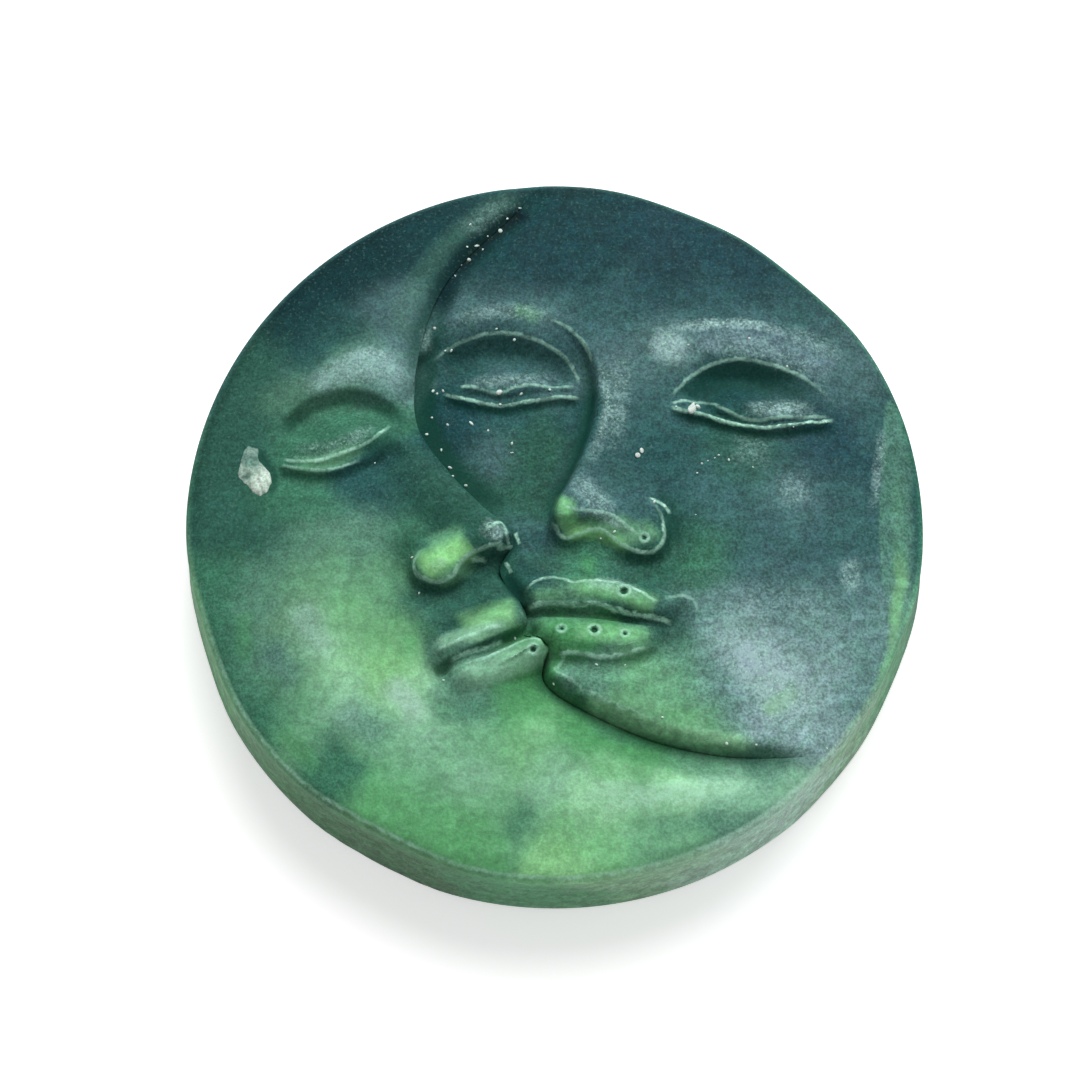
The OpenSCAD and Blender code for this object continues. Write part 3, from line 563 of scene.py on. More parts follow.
marbling = dict(
    colours=dict(
        pitch=srgb(0.01, 0.06, 0.10), abyss=srgb(0.02, 0.11, 0.15), gloom=srgb(0.06, 0.21, 0.225),
        night=srgb(0.09, 0.255, 0.27), dusk=srgb(0.125, 0.27, 0.30), teal=srgb(0.15, 0.32, 0.32),
        pine=srgb(0.18, 0.36, 0.31), deep=srgb(0.225, 0.38, 0.385), slate=srgb(0.30, 0.44, 0.445),
        grey=srgb(0.40, 0.55, 0.54), lilac=srgb(0.37, 0.475, 0.52), mist=srgb(0.50, 0.63, 0.625),
        haze=srgb(0.60, 0.72, 0.725), violet=srgb(0.60, 0.66, 0.76), moss=srgb(0.235, 0.45, 0.36),
        fern=srgb(0.29, 0.555, 0.355), sage=srgb(0.35, 0.535, 0.455), leaf=srgb(0.405, 0.625, 0.48),
        bright=srgb(0.455, 0.70, 0.50), grass=srgb(0.38, 0.65, 0.44), lime=srgb(0.525, 0.775, 0.535),
        pale=srgb(0.53, 0.735, 0.61), mint=srgb(0.60, 0.83, 0.65), glow=srgb(0.58, 0.85, 0.56),
        olive=srgb(0.38, 0.52, 0.41), stone=srgb(0.46, 0.66, 0.50), pith=srgb(0.55, 0.71, 0.57),
        ash=srgb(0.70, 0.84, 0.77),
    ),
    # x, y, spread and colour of each cloud of the pour, in mm as it lies in the photograph's view
    clouds=[
        # forehead, near brow and eye of the sun
        (2, 33, 5, "night"), (12, 29, 7, "dusk"), (0, 27, 3.6, "dusk"), (-6, 26, 2, "night"),
        (20, 25, 4, "dusk"), (6, 22.3, 2.8, "deep"), (15, 22, 2.6, "deep"), (24, 22, 2.6, "deep"),
        (29.5, 16, 3.2, "slate"), (33, 9, 2.4, "deep"), (11.8, 18.2, 2, "grey"), (20, 18.4, 3, "slate"),
        (20, 14, 3.6, "night"), (22.5, 11, 1.8, "slate"),
        # bridge of the nose and cheek
        (7, 16, 2.8, "slate"), (6.2, 9.6, 1.8, "deep"), (11, 12, 2.2, "deep"), (10.5, 6, 3, "teal"),
        (5, 4.6, 1.6, "deep"), (3.6, 2.4, 1.4, "slate"), (8, 2, 1.8, "deep"), (19.5, 7, 2.8, "pine"),
        (27.6, 7.6, 3.6, "dusk"), (24, 2, 2.8, "slate"), (16.5, 1.5, 3, "deep"), (15.4, -4, 2.4, "moss"),
        (21, -3.6, 3, "deep"), (29, -1.5, 3, "deep"), (27, -5.4, 1.8, "deep"), (29.6, -7, 1.4, "slate"),
        (22, -7.4, 2.4, "slate"),
        # jowl and chin; the pale mist and haze on the jowl are part colour and part painted sheen
        (15, -10.4, 2.2, "grey"), (25.5, -11, 2.6, "grey"), (31.2, -12, 2.6, "grey"),
        (18.6, -13, 2.2, "mist"), (22, -16.8, 2.8, "haze"), (26, -15.6, 2.4, "mist"),
        (30.4, -17.4, 2.2, "grey"), (17, -18, 2.2, "grey"), (13.4, -16, 1.8, "sage"),
        (24, -21.6, 2.4, "mist"), (9, -18.2, 2.4, "leaf"), (14, -21, 2, "leaf"), (4, -16.8, 1.4, "sage"),
        # lips and under the nose
        (3.2, -5, 1.5, "moss"), (9.4, -5.8, 2, "pine"), (13.2, -6, 1.8, "moss"),
        (-1.8, -5.8, 1.6, "pine"), (-2.4, -2.4, 1.3, "deep"), (0.6, -8.8, 1.4, "sage"),
        (1.4, -12.6, 1.5, "fern"), (12, -12, 1.4, "pine"), (12, -1.6, 1.4, "pine"),
        # far eye of the sun
        (-6, 17.4, 3, "teal"), (0.6, 17.4, 2, "deep"), (-5.5, 14.2, 1.4, "slate"),
        (0.4, 14.4, 1.8, "slate"), (-9.6, 8, 2.4, "night"), (-4.6, 10.4, 1.8, "teal"),
        (-6.6, 6.4, 1.6, "slate"), (-2, 6.6, 2.6, "pine"), (2, 10.4, 1.4, "teal"),
        (-3.8, 1.8, 2.2, "pine"), (-7, 21.5, 2.8, "slate"), (-1, 21.8, 1.8, "slate"),
        # forehead and eye of the moon
        (-5, 34, 2, "teal"), (-12, 30.4, 3, "night"), (-16, 21.6, 2.2, "slate"), (-20, 28.4, 4, "gloom"),
        (-26.4, 21.6, 3.2, "gloom"), (-22.6, 19.6, 1.8, "teal"), (-30.4, 16.6, 2.6, "pine"),
        (-26, 17.4, 1.8, "teal"), (-21, 15, 2.4, "sage"), (-17.6, 15, 1.8, "grey"),
        (-26.4, 12.8, 1.8, "sage"), (-21, 9.4, 1.8, "moss"), (-25.6, 8, 1.8, "moss"),
        (-17.6, 10, 1.4, "moss"), (-33, 9, 3.6, "pine"), (-33.6, 0, 3.2, "pine"),
        # temple and nose of the moon
        (-27.6, 1.2, 2.2, "moss"), (-24, 1.6, 1.4, "moss"), (-18, 3.4, 2.4, "teal"),
        (-14, 3, 2.2, "pine"), (-10.4, 1.8, 2, "pine"), (-29, -3, 2.4, "pine"), (-25, -3, 2, "sage"),
        (-19, -3, 2.2, "sage"), (-14.4, -2.6, 1.8, "moss"),
        # cheek of the moon
        (-32.6, -7, 2, "moss"), (-28.6, -8, 2, "sage"), (-22.6, -7.4, 2.8, "leaf"),
        (-17, -7, 1.6, "leaf"), (-32, -13.4, 2, "moss"), (-28, -14, 2.4, "sage"),
        (-24.4, -11.4, 2, "stone"), (-20, -11.6, 2.4, "bright"), (-15.6, -12.6, 1.6, "bright"),
        (-12.4, -10, 2.4, "pine"), (-21.8, -15, 2.2, "mint"), (-16.8, -16, 1.8, "lime"),
        (-25, -18.4, 2.2, "leaf"), (-20, -19.6, 2, "pale"), (-14.2, -19, 1.6, "mint"),
        (-29, -20.6, 2.4, "moss"), (-24.8, -23, 2, "leaf"), (-20.8, -26, 2.2, "moss"),
        (-17, -22.4, 1.8, "leaf"),
        # jaw of the moon
        (-13, -22.6, 2, "pale"), (-13.4, -26.4, 2.4, "leaf"), (-8.4, -23, 2.4, "leaf"),
        (-8.4, -18.2, 2, "sage"), (-3.4, -18.6, 1.8, "fern"), (-3.6, -24.6, 2.6, "bright"),
        (-8, -27, 2, "pale"), (-0.6, -27.4, 2, "pale"), (3.2, -23.6, 2, "fern"),
        (8.6, -25.2, 1.8, "fern"), (5, -28.6, 2.2, "mint"), (12, -29, 1.8, "mint"),
        (17.6, -28.4, 1.3, "pale"), (23.4, -28.4, 1.5, "pale"), (21.4, -26, 1.4, "sage"),
        (17, -31, 1.8, "sage"), (11, -32, 2.2, "leaf"), (3.4, -32.4, 2.4, "bright"),
        (0.4, -36, 1.8, "lime"), (-3.4, -31.4, 2, "leaf"), (-9, -31.4, 2.8, "grass"),
        (-15.4, -29.6, 2.4, "grass"),
    ],
    # bands of colour over the clouds, some of them painted shade, light or sheen: line, half width,
    # strength, colour
    strokes=[
        ([(-3.5, 35.3), (-6.5, 33.2), (-10, 30.3), (-13, 26.5), (-15, 22.5), (-16, 18.5)],
         1.9, 0.25, "sage"),
        # painted shade: dark core of the valley between the moon's forehead and the sun
        ([(-2.4, 33.6), (-4.4, 32.4), (-6.6, 30.8), (-8.8, 28.4), (-10.7, 25), (-12.2, 20.6)],
         1.8, 1.0, "abyss"),
        ([(-3, 33), (-4.8, 32), (-6.6, 30.6), (-8.4, 28.4), (-10, 25.6)], 0.9, 0.9, "pitch"),
        ([(-4.5, 22), (-2.8, 21.8), (-1, 21)], 1.0, 0.4, "grass"),
        ([(-25.4, 13), (-22, 15.2), (-19, 16.2), (-16.4, 15.6), (-15.4, 13.4)], 1.9, 0.45, "mist"),
        ([(9.6, 18.7), (11.6, 18.1), (13.8, 17.4)], 2, 0.5, "haze"),
        ([(13, 18.6), (17, 19), (21, 18.6), (25.4, 17.2), (28.6, 14.8)], 2, 0.55, "lilac"),
        ([(-22.4, 19.4), (-24.6, 16.8), (-27.6, 14.6)], 1.4, 0.4, "teal"),
        ([(-26.6, 5.6), (-22.6, 5.8), (-18.6, 7.4)], 1.2, 0.7, "leaf"),
        ([(34.6, 5), (34.5, 0), (34.3, -5)], 1, 0.2, "leaf"),
        ([(34.5, -3), (34.2, -8.5), (33.2, -14.6), (32, -19)], 0.9, 0.55, "lime"),
        ([(35.6, 10), (36.4, 5), (36.5, 0), (36.2, -5), (35.4, -9)], 0.8, 0.8, "night"),
        # the lips' own bright green, with a painted highlight along their crests
        ([(1, -7.6), (4, -7.6), (6.5, -8), (8.5, -9), (10.2, -9.9)], 1.3, 0.85, "bright"),
        ([(1.6, -12), (4, -12.1), (6.6, -12.4), (9.8, -12.7)], 1.2, 0.75, "bright"),
        ([(-2.4, -8.9), (-0.6, -8.3), (1.6, -8.3)], 1.1, 0.7, "leaf"),
        ([(2.8, -4), (3.4, -5.2), (3.6, -6.6)], 1.2, 0.5, "fern"),
        ([(1.3, 2.3), (1, 0.9), (1.4, -0.5), (2.6, -1.5)], 1.35, 1.0, "bright"),
        # painted light on the shaded underside of the sun's nose
        ([(0.6, -1.8), (3.2, -1.6), (5, -1.9), (7.6, -3.4)], 1.2, 1.0, "lime"),
        ([(5, -0.2), (7, -1.4), (8.6, -1.8), (10, -1)], 1.7, 0.8, "leaf"),
        ([(2.4, -0.7), (4.6, -0.6), (6.6, -1.6), (8.4, -2.7)], 1, 0.75, "leaf"),
        ([(-12.6, -3.4), (-10.6, -2.3), (-8.4, -1.7)], 1.3, 0.7, "leaf"),
        # the moon's own lime nose wing, carried down over its shaded underside as painted light
        ([(-13.5, -5.9), (-11.7, -4.9), (-9.9, -4), (-8, -3)], 2.1, 0.9, "glow"),
        # painted light under the moon's nose wing
        ([(-12, -7.4), (-9.8, -6), (-8.2, -4.8)], 1.3, 0.85, "leaf"),
        ([(-9.4, -12.1), (-7.2, -11.2), (-5.2, -10.4), (-3.4, -10)], 1.9, 0.75, "lime"),
        ([(-12, -14), (-9.4, -12.9), (-7, -12), (-4, -11.2)], 1.0, 0.9, "pale"),
        ([(-10.4, -17.1), (-6, -15.9), (-2.8, -14.7), (0, -14)], 2, 0.9, "pale"),
        ([(4.5, -18), (8, -19.6), (12, -21), (16, -21.8)], 1.5, 0.5, "bright"),
        ([(2.6, -18.8), (6, -20.8), (10, -22.4), (15, -23.4), (20, -23.8)], 1.3, 0.9, "mint"),
        # pale haze on the moon's cheek, part colour and part painted sheen
        ([(-26, -8.6), (-24, -12), (-22.2, -16)], 1.8, 0.25, "haze"),
        ([(-31, -9.6), (-30.4, -12), (-30.8, -16)], 1.3, 0.4, "fern"),
        ([(-14.6, -11.6), (-14.2, -13.6), (-14.8, -15.6)], 1.3, 0.6, "grass"),
        ([(-28.6, -12.8), (-26.8, -15.6), (-24.8, -18.2)], 2.1, 0.45, "slate"),
        # pale patch beside the moon's lips, part colour and part painted sheen
        ([(-16.8, -16.6), (-14.6, -19), (-12.4, -21.6)], 1.7, 0.38, "ash"),
        ([(-19.4, -19.6), (-22, -22.4), (-24.6, -24.4)], 1.1, 0.25, "sage"),
        ([(-21.4, -19.4), (-18.6, -21.4), (-15.4, -23.6)], 2.4, 0.45, "grey"),
        ([(-27.4, -22), (-25, -24.6), (-22.6, -26.8)], 1.2, 0.5, "fern"),
        ([(-12.8, -20.6), (-9, -20.2), (-5, -19.2)], 1.5, 0.5, "moss"),
        # painted shadow below the sun's chin, on the moon's jaw
        ([(0.6, -20), (4, -22.6), (8, -24.4), (12, -25.4)], 1.4, 0.55, "fern"),
        ([(-2, -29), (-3.4, -31.4), (-4.8, -34)], 1.6, 0.55, "moss"),
        ([(9, -32.4), (13, -31.6), (17.4, -30.6)], 1.5, 0.4, "moss"),
        ([(0.5, -27.2), (4, -28.2), (9, -28.8), (14, -28.6), (19, -27.6)], 1.3, 0.5, "mint"),
        ([(3, -26), (7, -26.4), (10, -26.6)], 1.0, 0.5, "bright"),
        # bluish patch on the sun's jowl, part colour and part painted sheen
        ([(17.8, -13.4), (19.2, -15), (20.2, -16.8)], 1.6, 0.6, "violet"),
        ([(20.2, -20.6), (22.2, -19.4), (24.2, -18)], 1.3, 0.6, "lime"),
        # painted shadow below the sun's chin, on the moon's jaw
        ([(10, -24.5), (13, -25.5), (16, -26), (18.6, -26), (21, -25.6)], 1.5, 0.55, "moss"),
        ([(3, -21.4), (6, -23), (10, -24.2)], 0.9, 0.4, "moss"),
        ([(11.4, -25.2), (13.6, -26.2), (15.8, -26.6)], 1.5, 0.45, "moss"),
        # painted shade where the moon's lips meet the sun's, and under the sun's nose
        ([(-5, -6.4), (-4, -7.6), (-2.8, -8.6)], 0.9, 0.5, "abyss"),
        ([(-4.2, -4.8), (-2.8, -6), (-1.2, -6.6), (0.6, -6.4)], 1.3, 0.45, "night"),
    ],
    # dry pale bloom, in places with painted sheen and highlight: line, half width, strength
    bloomSheens=[
        ([(10, 18.8), (12.5, 20), (15, 20.4), (18, 20.4), (20.5, 20.1), (23, 19.4), (25, 18.4)], 0.8, 0.42),
        ([(9.4, 18.6), (11.4, 17.9), (13.4, 17.3)], 2.1, 0.36),
        ([(11, 17.4), (16, 18.2), (21, 17.6), (25.5, 15.6), (28.4, 13.4)], 1.9, 0.2),
        ([(22, 19.6), (26, 18.6), (29, 16)], 1.4, 0.2),
        ([(18.6, 11.2), (20.5, 11.2), (22.5, 11.4), (24.8, 11.4), (27, 11)], 1.1, 0.42),
        ([(21.4, 11.4), (23.4, 11.4)], 0.9, 0.3),
        ([(-10, 14), (-6, 14.2), (-3, 14.4), (1, 14.7)], 0.9, 0.25),
        ([(-11.4, 20.2), (-8, 21.5), (-5, 21.9), (-2, 21.7), (0.6, 20.7)], 1.1, 0.22),
        ([(-12.9, 20.4), (-13, 18.6), (-12.8, 17)], 0.9, 0.5),
        ([(-26, 12), (-24, 13.6), (-21.5, 15), (-19, 15.6), (-16.6, 15), (-15.4, 13)], 1.9, 0.2),
        ([(-22, 16), (-20, 16.8), (-17.6, 17), (-15.8, 15)], 0.9, 0.27),
        ([(-26.5, 6.9), (-23, 7.1), (-20, 8), (-17.5, 9.3)], 1.0, 0.22),
        ([(-4, 35), (-7, 32.8), (-10, 30.4)], 1.5, 0.12),
        # bloom with painted sheen down the bridge of the sun's nose
        ([(6.8, 18), (6.4, 14), (6, 10), (5, 6.5)], 1.6, 0.24),
        ([(4.6, 17), (5.1, 14), (5.2, 11), (4.4, 8), (3, 4.6)], 0.8, 0.36),
        ([(2, 4.6), (3, 3), (4.4, 1.4), (6, 0)], 1.4, 0.26),
        ([(2.6, 0.3), (4.4, 0.2), (6, -0.6), (7.6, -1.9)], 0.6, 0.45),
        ([(-7.4, -1), (-6, -1.7), (-4.8, -2.8)], 1.1, 0.45),
        # bloom with painted sheen on the sun's jowl
        ([(15, -12), (18, -14), (21, -17), (24, -19.4), (26, -20)], 2.8, 0.52),
        ([(21, -17.4), (22.4, -19), (24.6, -19.6)], 1.6, 0.35),
        ([(29.2, -4.4), (29.4, -6.4), (29.6, -8.6)], 1.3, 0.3),
        ([(16, -9), (20, -9), (25, -10), (29, -12)], 2.6, 0.14),
        ([(17.5, 7), (22, 6.6)], 2, 0.12),
        ([(22, 2.4), (26, 3)], 2.2, 0.2),
        ([(32, 0), (32.2, 3.6), (32.6, 6.6), (33.2, 9.4)], 0.7, 0.32),
        # bloom with painted sheen beside the moon's lips and on its cheek
        ([(-16.4, -17), (-14.4, -19), (-12.8, -20.8)], 1.5, 0.3),
        ([(-26, -9), (-24, -12), (-22, -15)], 3, 0.14),
        ([(2, -27.8), (8, -28.8), (14, -28.4), (19, -27.4)], 1.6, 0.25),
        # painted highlight along the top of the sun's upper lip
        ([(2.6, -7.2), (6, -7.2), (8.6, -8.4)], 0.8, 0.3),
        ([(-12.6, -5.8), (-10.5, -4.4)], 0.9, 0.25),
    ],
    # side wall by azimuth in degrees: middle, spread, colour
    wall=[
        (-165, 14, "stone"), (-150, 14, "stone"), (-132, 14, "olive"), (-112, 9, "olive"), (-93, 8, "leaf"),
        (-76, 10, "pith"), (-55, 16, "ash"), (-38, 6, "pith"), (-24, 9, "leaf"), (-6, 10, "moss"),
        (14, 14, "pine"), (45, 30, "moss"), (90, 40, "teal"), (140, 30, "teal"), (172, 12, "moss"),
    ],
    # swirls that bend the clouds: size, cell and seed
    swirls=[(0.7, 6.0, 11), (0.6, 2.4, 13), (0.3, 1.0, 16)], strokeSwirl=0.3, wallSwirl=(6.0, 4.0, 15),
    cloudSpread=(0.4, 0.7), underneath="teal", strokeEnds=(0.7, 0.7), bloomSheenEnds=0.35,
    # the underside gets no strokes, bloom or painted sheen
    faceFrom=(8.0, 9.0), underBroad=2.2,  # the underside has wider, softer clouds and no strokes or bloom
    lightLevel=0.9, lightFall=0.004,  # the top of the faces is a touch darker
    rimShade=0.3, rimShadeIn=(0.4, 2.2), rimShadeUp=(-4, 8), facetColour="sage", facetTint=0.55,
    wallIn=(0.15, 0.8), wallUpper=(7.9, 10.0), upperPaintedLight=0.3, upperThin=0.35,
)

viewLean = 0.344  # how far a point moves up the photograph for each mm of height
viewLevel = 12.5  # height at which the drawn places are true


def asSeen(xyz):
    # place as the camera sees it, brought to the height of the faces
    return np.c_[xyz[:, 0], xyz[:, 1] + viewLean * (xyz[:, 2] - viewLevel)]


def faceTint(xy, swirled, broad):
    # clouds of colour, each point taking most from the nearest ones
    colours = marbling["colours"]
    least, share = marbling["cloudSpread"]
    weight = np.full(len(xy), 1e-6)
    tint = np.outer(weight, colours[marbling["underneath"]])
    for x, y, spread, colour in marbling["clouds"]:
        away = (swirled[:, 0] - x) ** 2 + (swirled[:, 1] - y) ** 2
        w = np.exp(-0.5 * away / (broad * (least + share * spread)) ** 2) + 1e-5 / (1.0 + away)
        weight += w
        tint += np.outer(w, colours[colour])
    tint /= weight[:, None]
    return tint * (marbling["lightLevel"] - marbling["lightFall"] * xy[:, 1])[:, None]


def wallTint(xyz):
    # colour of the side wall by its azimuth
    size, cell, seed = marbling["wallSwirl"]
    azimuth = np.degrees(np.arctan2(xyz[:, 1], xyz[:, 0]))
    azimuth += size * cloud(xyz[:, :2] + xyz[:, 2:], cell, seed)
    weight = np.zeros(len(xyz))
    side = np.zeros((len(xyz), 3))
    for middle, spread, colour in marbling["wall"]:
        turn = (azimuth - middle + 180.0) % 360.0 - 180.0
        w = np.exp(-(turn / spread) ** 2) + 1e-6
        weight += w
        side += np.outer(w, marbling["colours"][colour])
    return side / weight[:, None]


def soapTint(xyz, facet):
    # colour of the pours at each point, and the strength of the bloom and painted sheen
    xy = xyz[:, :2]
    seen = asSeen(xyz)
    colours = marbling["colours"]
    drift = np.zeros(seen.shape)
    for size, cell, seed in marbling["swirls"]:
        drift += size * np.stack([cloud(seen, cell, seed), cloud(seen, cell, seed + 1)], 1)
    bent = seen + marbling["strokeSwirl"] * drift
    onFace = ease(*marbling["faceFrom"], xyz[:, 2])
    broad = marbling["underBroad"] - (marbling["underBroad"] - 1.0) * onFace
    tint = faceTint(xy, seen + drift, broad)
    shade = marbling["rimShade"] * (1.0 - ease(*marbling["rimShadeIn"], rimGap(xy)))
    tint *= (1.0 - shade * ease(*marbling["rimShadeUp"], xy[:, 1]) * (1.0 - facet))[:, None]
    tint += marbling["facetTint"] * facet[:, None] * (np.array(colours[marbling["facetColour"]]) - tint)
    for line, halfWidth, strength, colour in marbling["strokes"]:
        shape = strength * onFace * ridgeShape(bent, line, halfWidth, marbling["strokeEnds"])
        tint += shape[:, None] * (np.array(colours[colour]) - tint)
    # painted light on the pours' own walls above the seam
    upper = ease(*marbling["wallUpper"], xyz[:, 2])
    side = wallTint(xyz) * (1.0 + marbling["upperPaintedLight"] * upper)[:, None]
    onWall = (1.0 - ease(*marbling["wallIn"], rimGap(xy))) * (1.0 - marbling["upperThin"] * upper)
    bloomSheen = np.zeros(len(xy))
    for line, halfWidth, strength in marbling["bloomSheens"]:
        fade = marbling["bloomSheenEnds"] * (len(line) - 1)
        bloomSheen = np.maximum(bloomSheen, strength * ridgeShape(bent, line, halfWidth, (fade, fade)))
    tint = tint * (1.0 - onWall)[:, None] + side * onWall[:, None]
    return tint, bloomSheen * onFace * (1.0 - onWall)


# meshes

sharpAngle = 55  # degrees between two faces from which their edge is drawn sharp
rimBand = 2.0  # width of the finer rows along the rim
gapMiddle, gapScale = 0.5, 0.25  # keep the distances across the lines within 0 and 1


def storeLooks(mesh, xyz, looks, ownTint):
    # colour layers that the materials read
    tint, bloomSheen = soapTint(xyz, looks[:, facetAt])
    if ownTint is not None:
        tint = ownTint
    layers = dict(soapTint=tint, soapShadeBloomSheen=np.c_[looks[:, paintedShadeAt], bloomSheen, np.zeros(len(bloomSheen))],
                  lineGaps=gapMiddle + gapScale * looks[:, gapAt:wearGlintAt], lineWearGlint=looks[:, wearGlintAt:])
    for name, three in layers.items():
        layer = mesh.attributes.new(name, "FLOAT_COLOR", "POINT")
        layer.data.foreach_set("color", np.c_[three, np.ones(len(three))].ravel().astype(np.float32))


def finishPiece(name, xyz, faces, looks, ownTint=None):
    mesh = bpy.data.meshes.new(name)
    mesh.from_pydata((xyz * mm).tolist(), [], faces)
    storeLooks(mesh, xyz, looks, ownTint)
    solid = bmesh.new()
    solid.from_mesh(mesh)
    bmesh.ops.recalc_face_normals(solid, faces=solid.faces)
    solid.to_mesh(mesh)
    solid.free()
    mesh.polygons.foreach_set("use_smooth", [True] * len(mesh.polygons))
    mesh.set_sharp_from_angle(angle=math.radians(sharpAngle))
    piece = bpy.data.objects.new(name, mesh)
    bpy.context.collection.objects.link(piece)
    print(name, len(mesh.vertices), "points", sum(len(p.vertices) - 2 for p in mesh.polygons), "triangles")
    return piece


def buildPour(name, turn, face, shapeOf):
    # solid between the profile and the rim, with the modelled top, upright walls and a flat bottom
    fine = profileCurve(fineSteps)
    steps = np.arange(len(fine))
    run = np.concatenate([[0.0], np.cumsum(np.hypot(*np.diff(fine, axis=0).T))])
    share = 0.5 * steps / steps[-1] + 0.5 * run / run[-1]
    start = math.atan2(fine[0, 1], fine[0, 0])
    sweep = math.atan2(fine[-1, 1], fine[-1, 0]) - start + turn
    # columns spread evenly over the length of the profile and the rim together
    along = run + puck["rimRadius"] * abs(sweep) * share
    n = face["columns"]
    pick = np.interp(np.linspace(0.0, along[-1], n + 1), along, steps)
    line = np.stack([np.interp(pick, steps, fine[:, k]) for k in (0, 1)], 1)
    angle = start + sweep * np.interp(pick, steps, share)
    rim = radiusAt(angle, puck["rimRadius"])[:, None] * np.stack([np.cos(angle), np.sin(angle)], 1)
    rows, rimRows = face["rows"], face["rimRows"]
    wide = rows + rimRows + 1
    span = np.hypot(*(rim - line).T)[1:-1]
    band = np.minimum(rimBand, 0.5 * span) / span
    inner = (1.0 - band)[:, None] * np.arange(rows) / rows
    outer = 1.0 - band[:, None] * (1.0 - np.sin(0.5 * math.pi * np.arange(rimRows + 1) / rimRows))
    shares = np.concatenate([inner, outer], axis=1)[:, :, None]
    grid = line[1:-1, None] * (1.0 - shares) + rim[1:-1, None] * shares
    flat = np.vstack([line[:1], line[-1:], grid.reshape(-1, 2)])
    z, looks = shapeOf(flat)
    z = np.clip(z, puck["seamHeight"] + puck["leastPour"], puck["highest"])
    low = len(flat)
    foot = np.vstack([line[:1], line[-1:], line[1:-1], rim[1:-1]])
    xyz = np.vstack([np.c_[flat, z], np.c_[foot, np.full(len(foot), puck["seamHeight"])]])
    bare = plainLooks(len(foot))
    bare[:, gapAt] = -noLine  # keeps the worn rim line off the side wall
    looks = np.vstack([looks, bare])
    last = 2 + (n - 2) * wide
    innerLow, outerLow = low + 2, low + 1 + n
    faces = [(0, 2 + j, 3 + j) for j in range(wide - 1)]
    faces += [(1, last + j + 1, last + j) for j in range(wide - 1)]
    for k in range(n - 2):
        a = 2 + k * wide
        faces += [(a + j, a + wide + j, a + wide + j + 1, a + j + 1) for j in range(wide - 1)]
        faces.append((a, innerLow + k, innerLow + k + 1, a + wide))
        faces.append((a + wide - 1, a + 2 * wide - 1, outerLow + k + 1, outerLow + k))
        faces.append((outerLow + k, outerLow + k + 1, innerLow + k + 1, innerLow + k))
    faces += [(0, low, innerLow, 2), (0, 1 + wide, outerLow, low), (1, last, innerLow + n - 2, low + 1),
              (1, low + 1, outerLow + n - 2, last + wide - 1),
              (low, outerLow, innerLow), (low + 1, innerLow + n - 2, outerLow + n - 2)]
    return finishPiece(name, xyz, faces, looks)


backing = dict(
    around=480, underRings=12, roundSteps=10, wallSteps=16, topRings=(0.1, 0.4, 0.7),
    dentDepth=0.12, dentCell=7.0, dentSeed=21, dentFrom=37.0, dentSlant=0.7, dentSpan=(0.3, 2.0, 6.0, 7.9),
)


def buildBacking(name):
    # turned backing pour, trimmed by the flats, with small inward dents from handling
    r, seam, edge, wall = puck["footRadius"], puck["seamHeight"], puck["footRound"], puck["wallStart"]
    draft = (r - puck["rimRadius"]) / (seam - wall)
    rings, around = backing["underRings"], backing["around"]
    bend = np.linspace(0, math.pi / 2, backing["roundSteps"])
    section = [((r - edge) * k / rings, 0.0) for k in range(1, rings)]
    section += [(r - edge + edge * math.sin(a), edge - edge * math.cos(a)) for a in bend]
    section += [(r - draft * (h - wall), h) for h in np.linspace(wall, seam, backing["wallSteps"])]
    section += [(puck["rimRadius"] * (1 - t), seam) for t in backing["topRings"]]
    angle = 2 * math.pi * np.arange(around) / around
    ring = np.stack([np.cos(angle), np.sin(angle)], 1)
    xyz = [np.array([[0.0, 0.0, 0.0], [0.0, 0.0, seam]])]
    for radius, height in section:
        radius = np.minimum(radius, radiusAt(angle, r - draft * (height - wall)))
        place = ring * backing["dentFrom"] + height * backing["dentSlant"]
        dent = backing["dentDepth"] * np.clip(cloud(place, backing["dentCell"], backing["dentSeed"]), 0, 1)
        dent = dent * stretch(height, *backing["dentSpan"])
        xyz.append(np.c_[ring * (radius - dent)[:, None], np.full(around, height)])
    xyz = np.vstack(xyz)
    faces = []
    top = 2 + (len(section) - 1) * around
    for k in range(around):
        nextK = (k + 1) % around
        faces.append((0, 2 + nextK, 2 + k))
        faces.append((1, top + k, top + nextK))
        for s in range(len(section) - 1):
            a = 2 + s * around
            faces.append((a + k, a + nextK, a + around + nextK, a + around + k))
    return finishPiece(name, xyz, faces, plainLooks(len(xyz)))


crumb = dict(
    outline=[(-30.4, 7.7), (-29.8, 7.3), (-29.7, 6.1), (-29, 5.2), (-28.4, 4.4), (-28.3, 3.5), (-28.7, 2.5),
             (-29.3, 2.1), (-30.2, 2.5), (-30.9, 3.4), (-31.5, 4), (-31.9, 4.6), (-31.7, 5.6), (-31.4, 7),
             (-30.9, 7.6), (-30.4, 7.7)],
    middle=(-30, 4.8), thickness=0.6, rings=12, steps=6, lift=0.02, sink=0.08, roundness=4,
    ragged=(0.05, 0.35, 33), pit=(-30.9, 4.3), pitSize=0.25, pitDepth=0.4, pitShade=0.8,
    fall=(0.5, -0.85), fallSpan=(-2.0, 2.2),  # direction in which the flake grows thicker and paler
    lumpLevel=0.55, lumps=[(0.3, 0.9, 31), (0.35, 0.4, 32)], thinSide=0.45, lumpLimits=(0.05, 0.95),
    chalking=(0.3, 0.7, 34),
    chalk=srgb(0.77, 0.84, 0.79), stain=srgb(0.40, 0.54, 0.49), shade=srgb(0.20, 0.33, 0.30),
)


def ringFaces(low, high, count):
    return [(low + k, low + (k + 1) % count, high + (k + 1) % count, high + k) for k in range(count)]


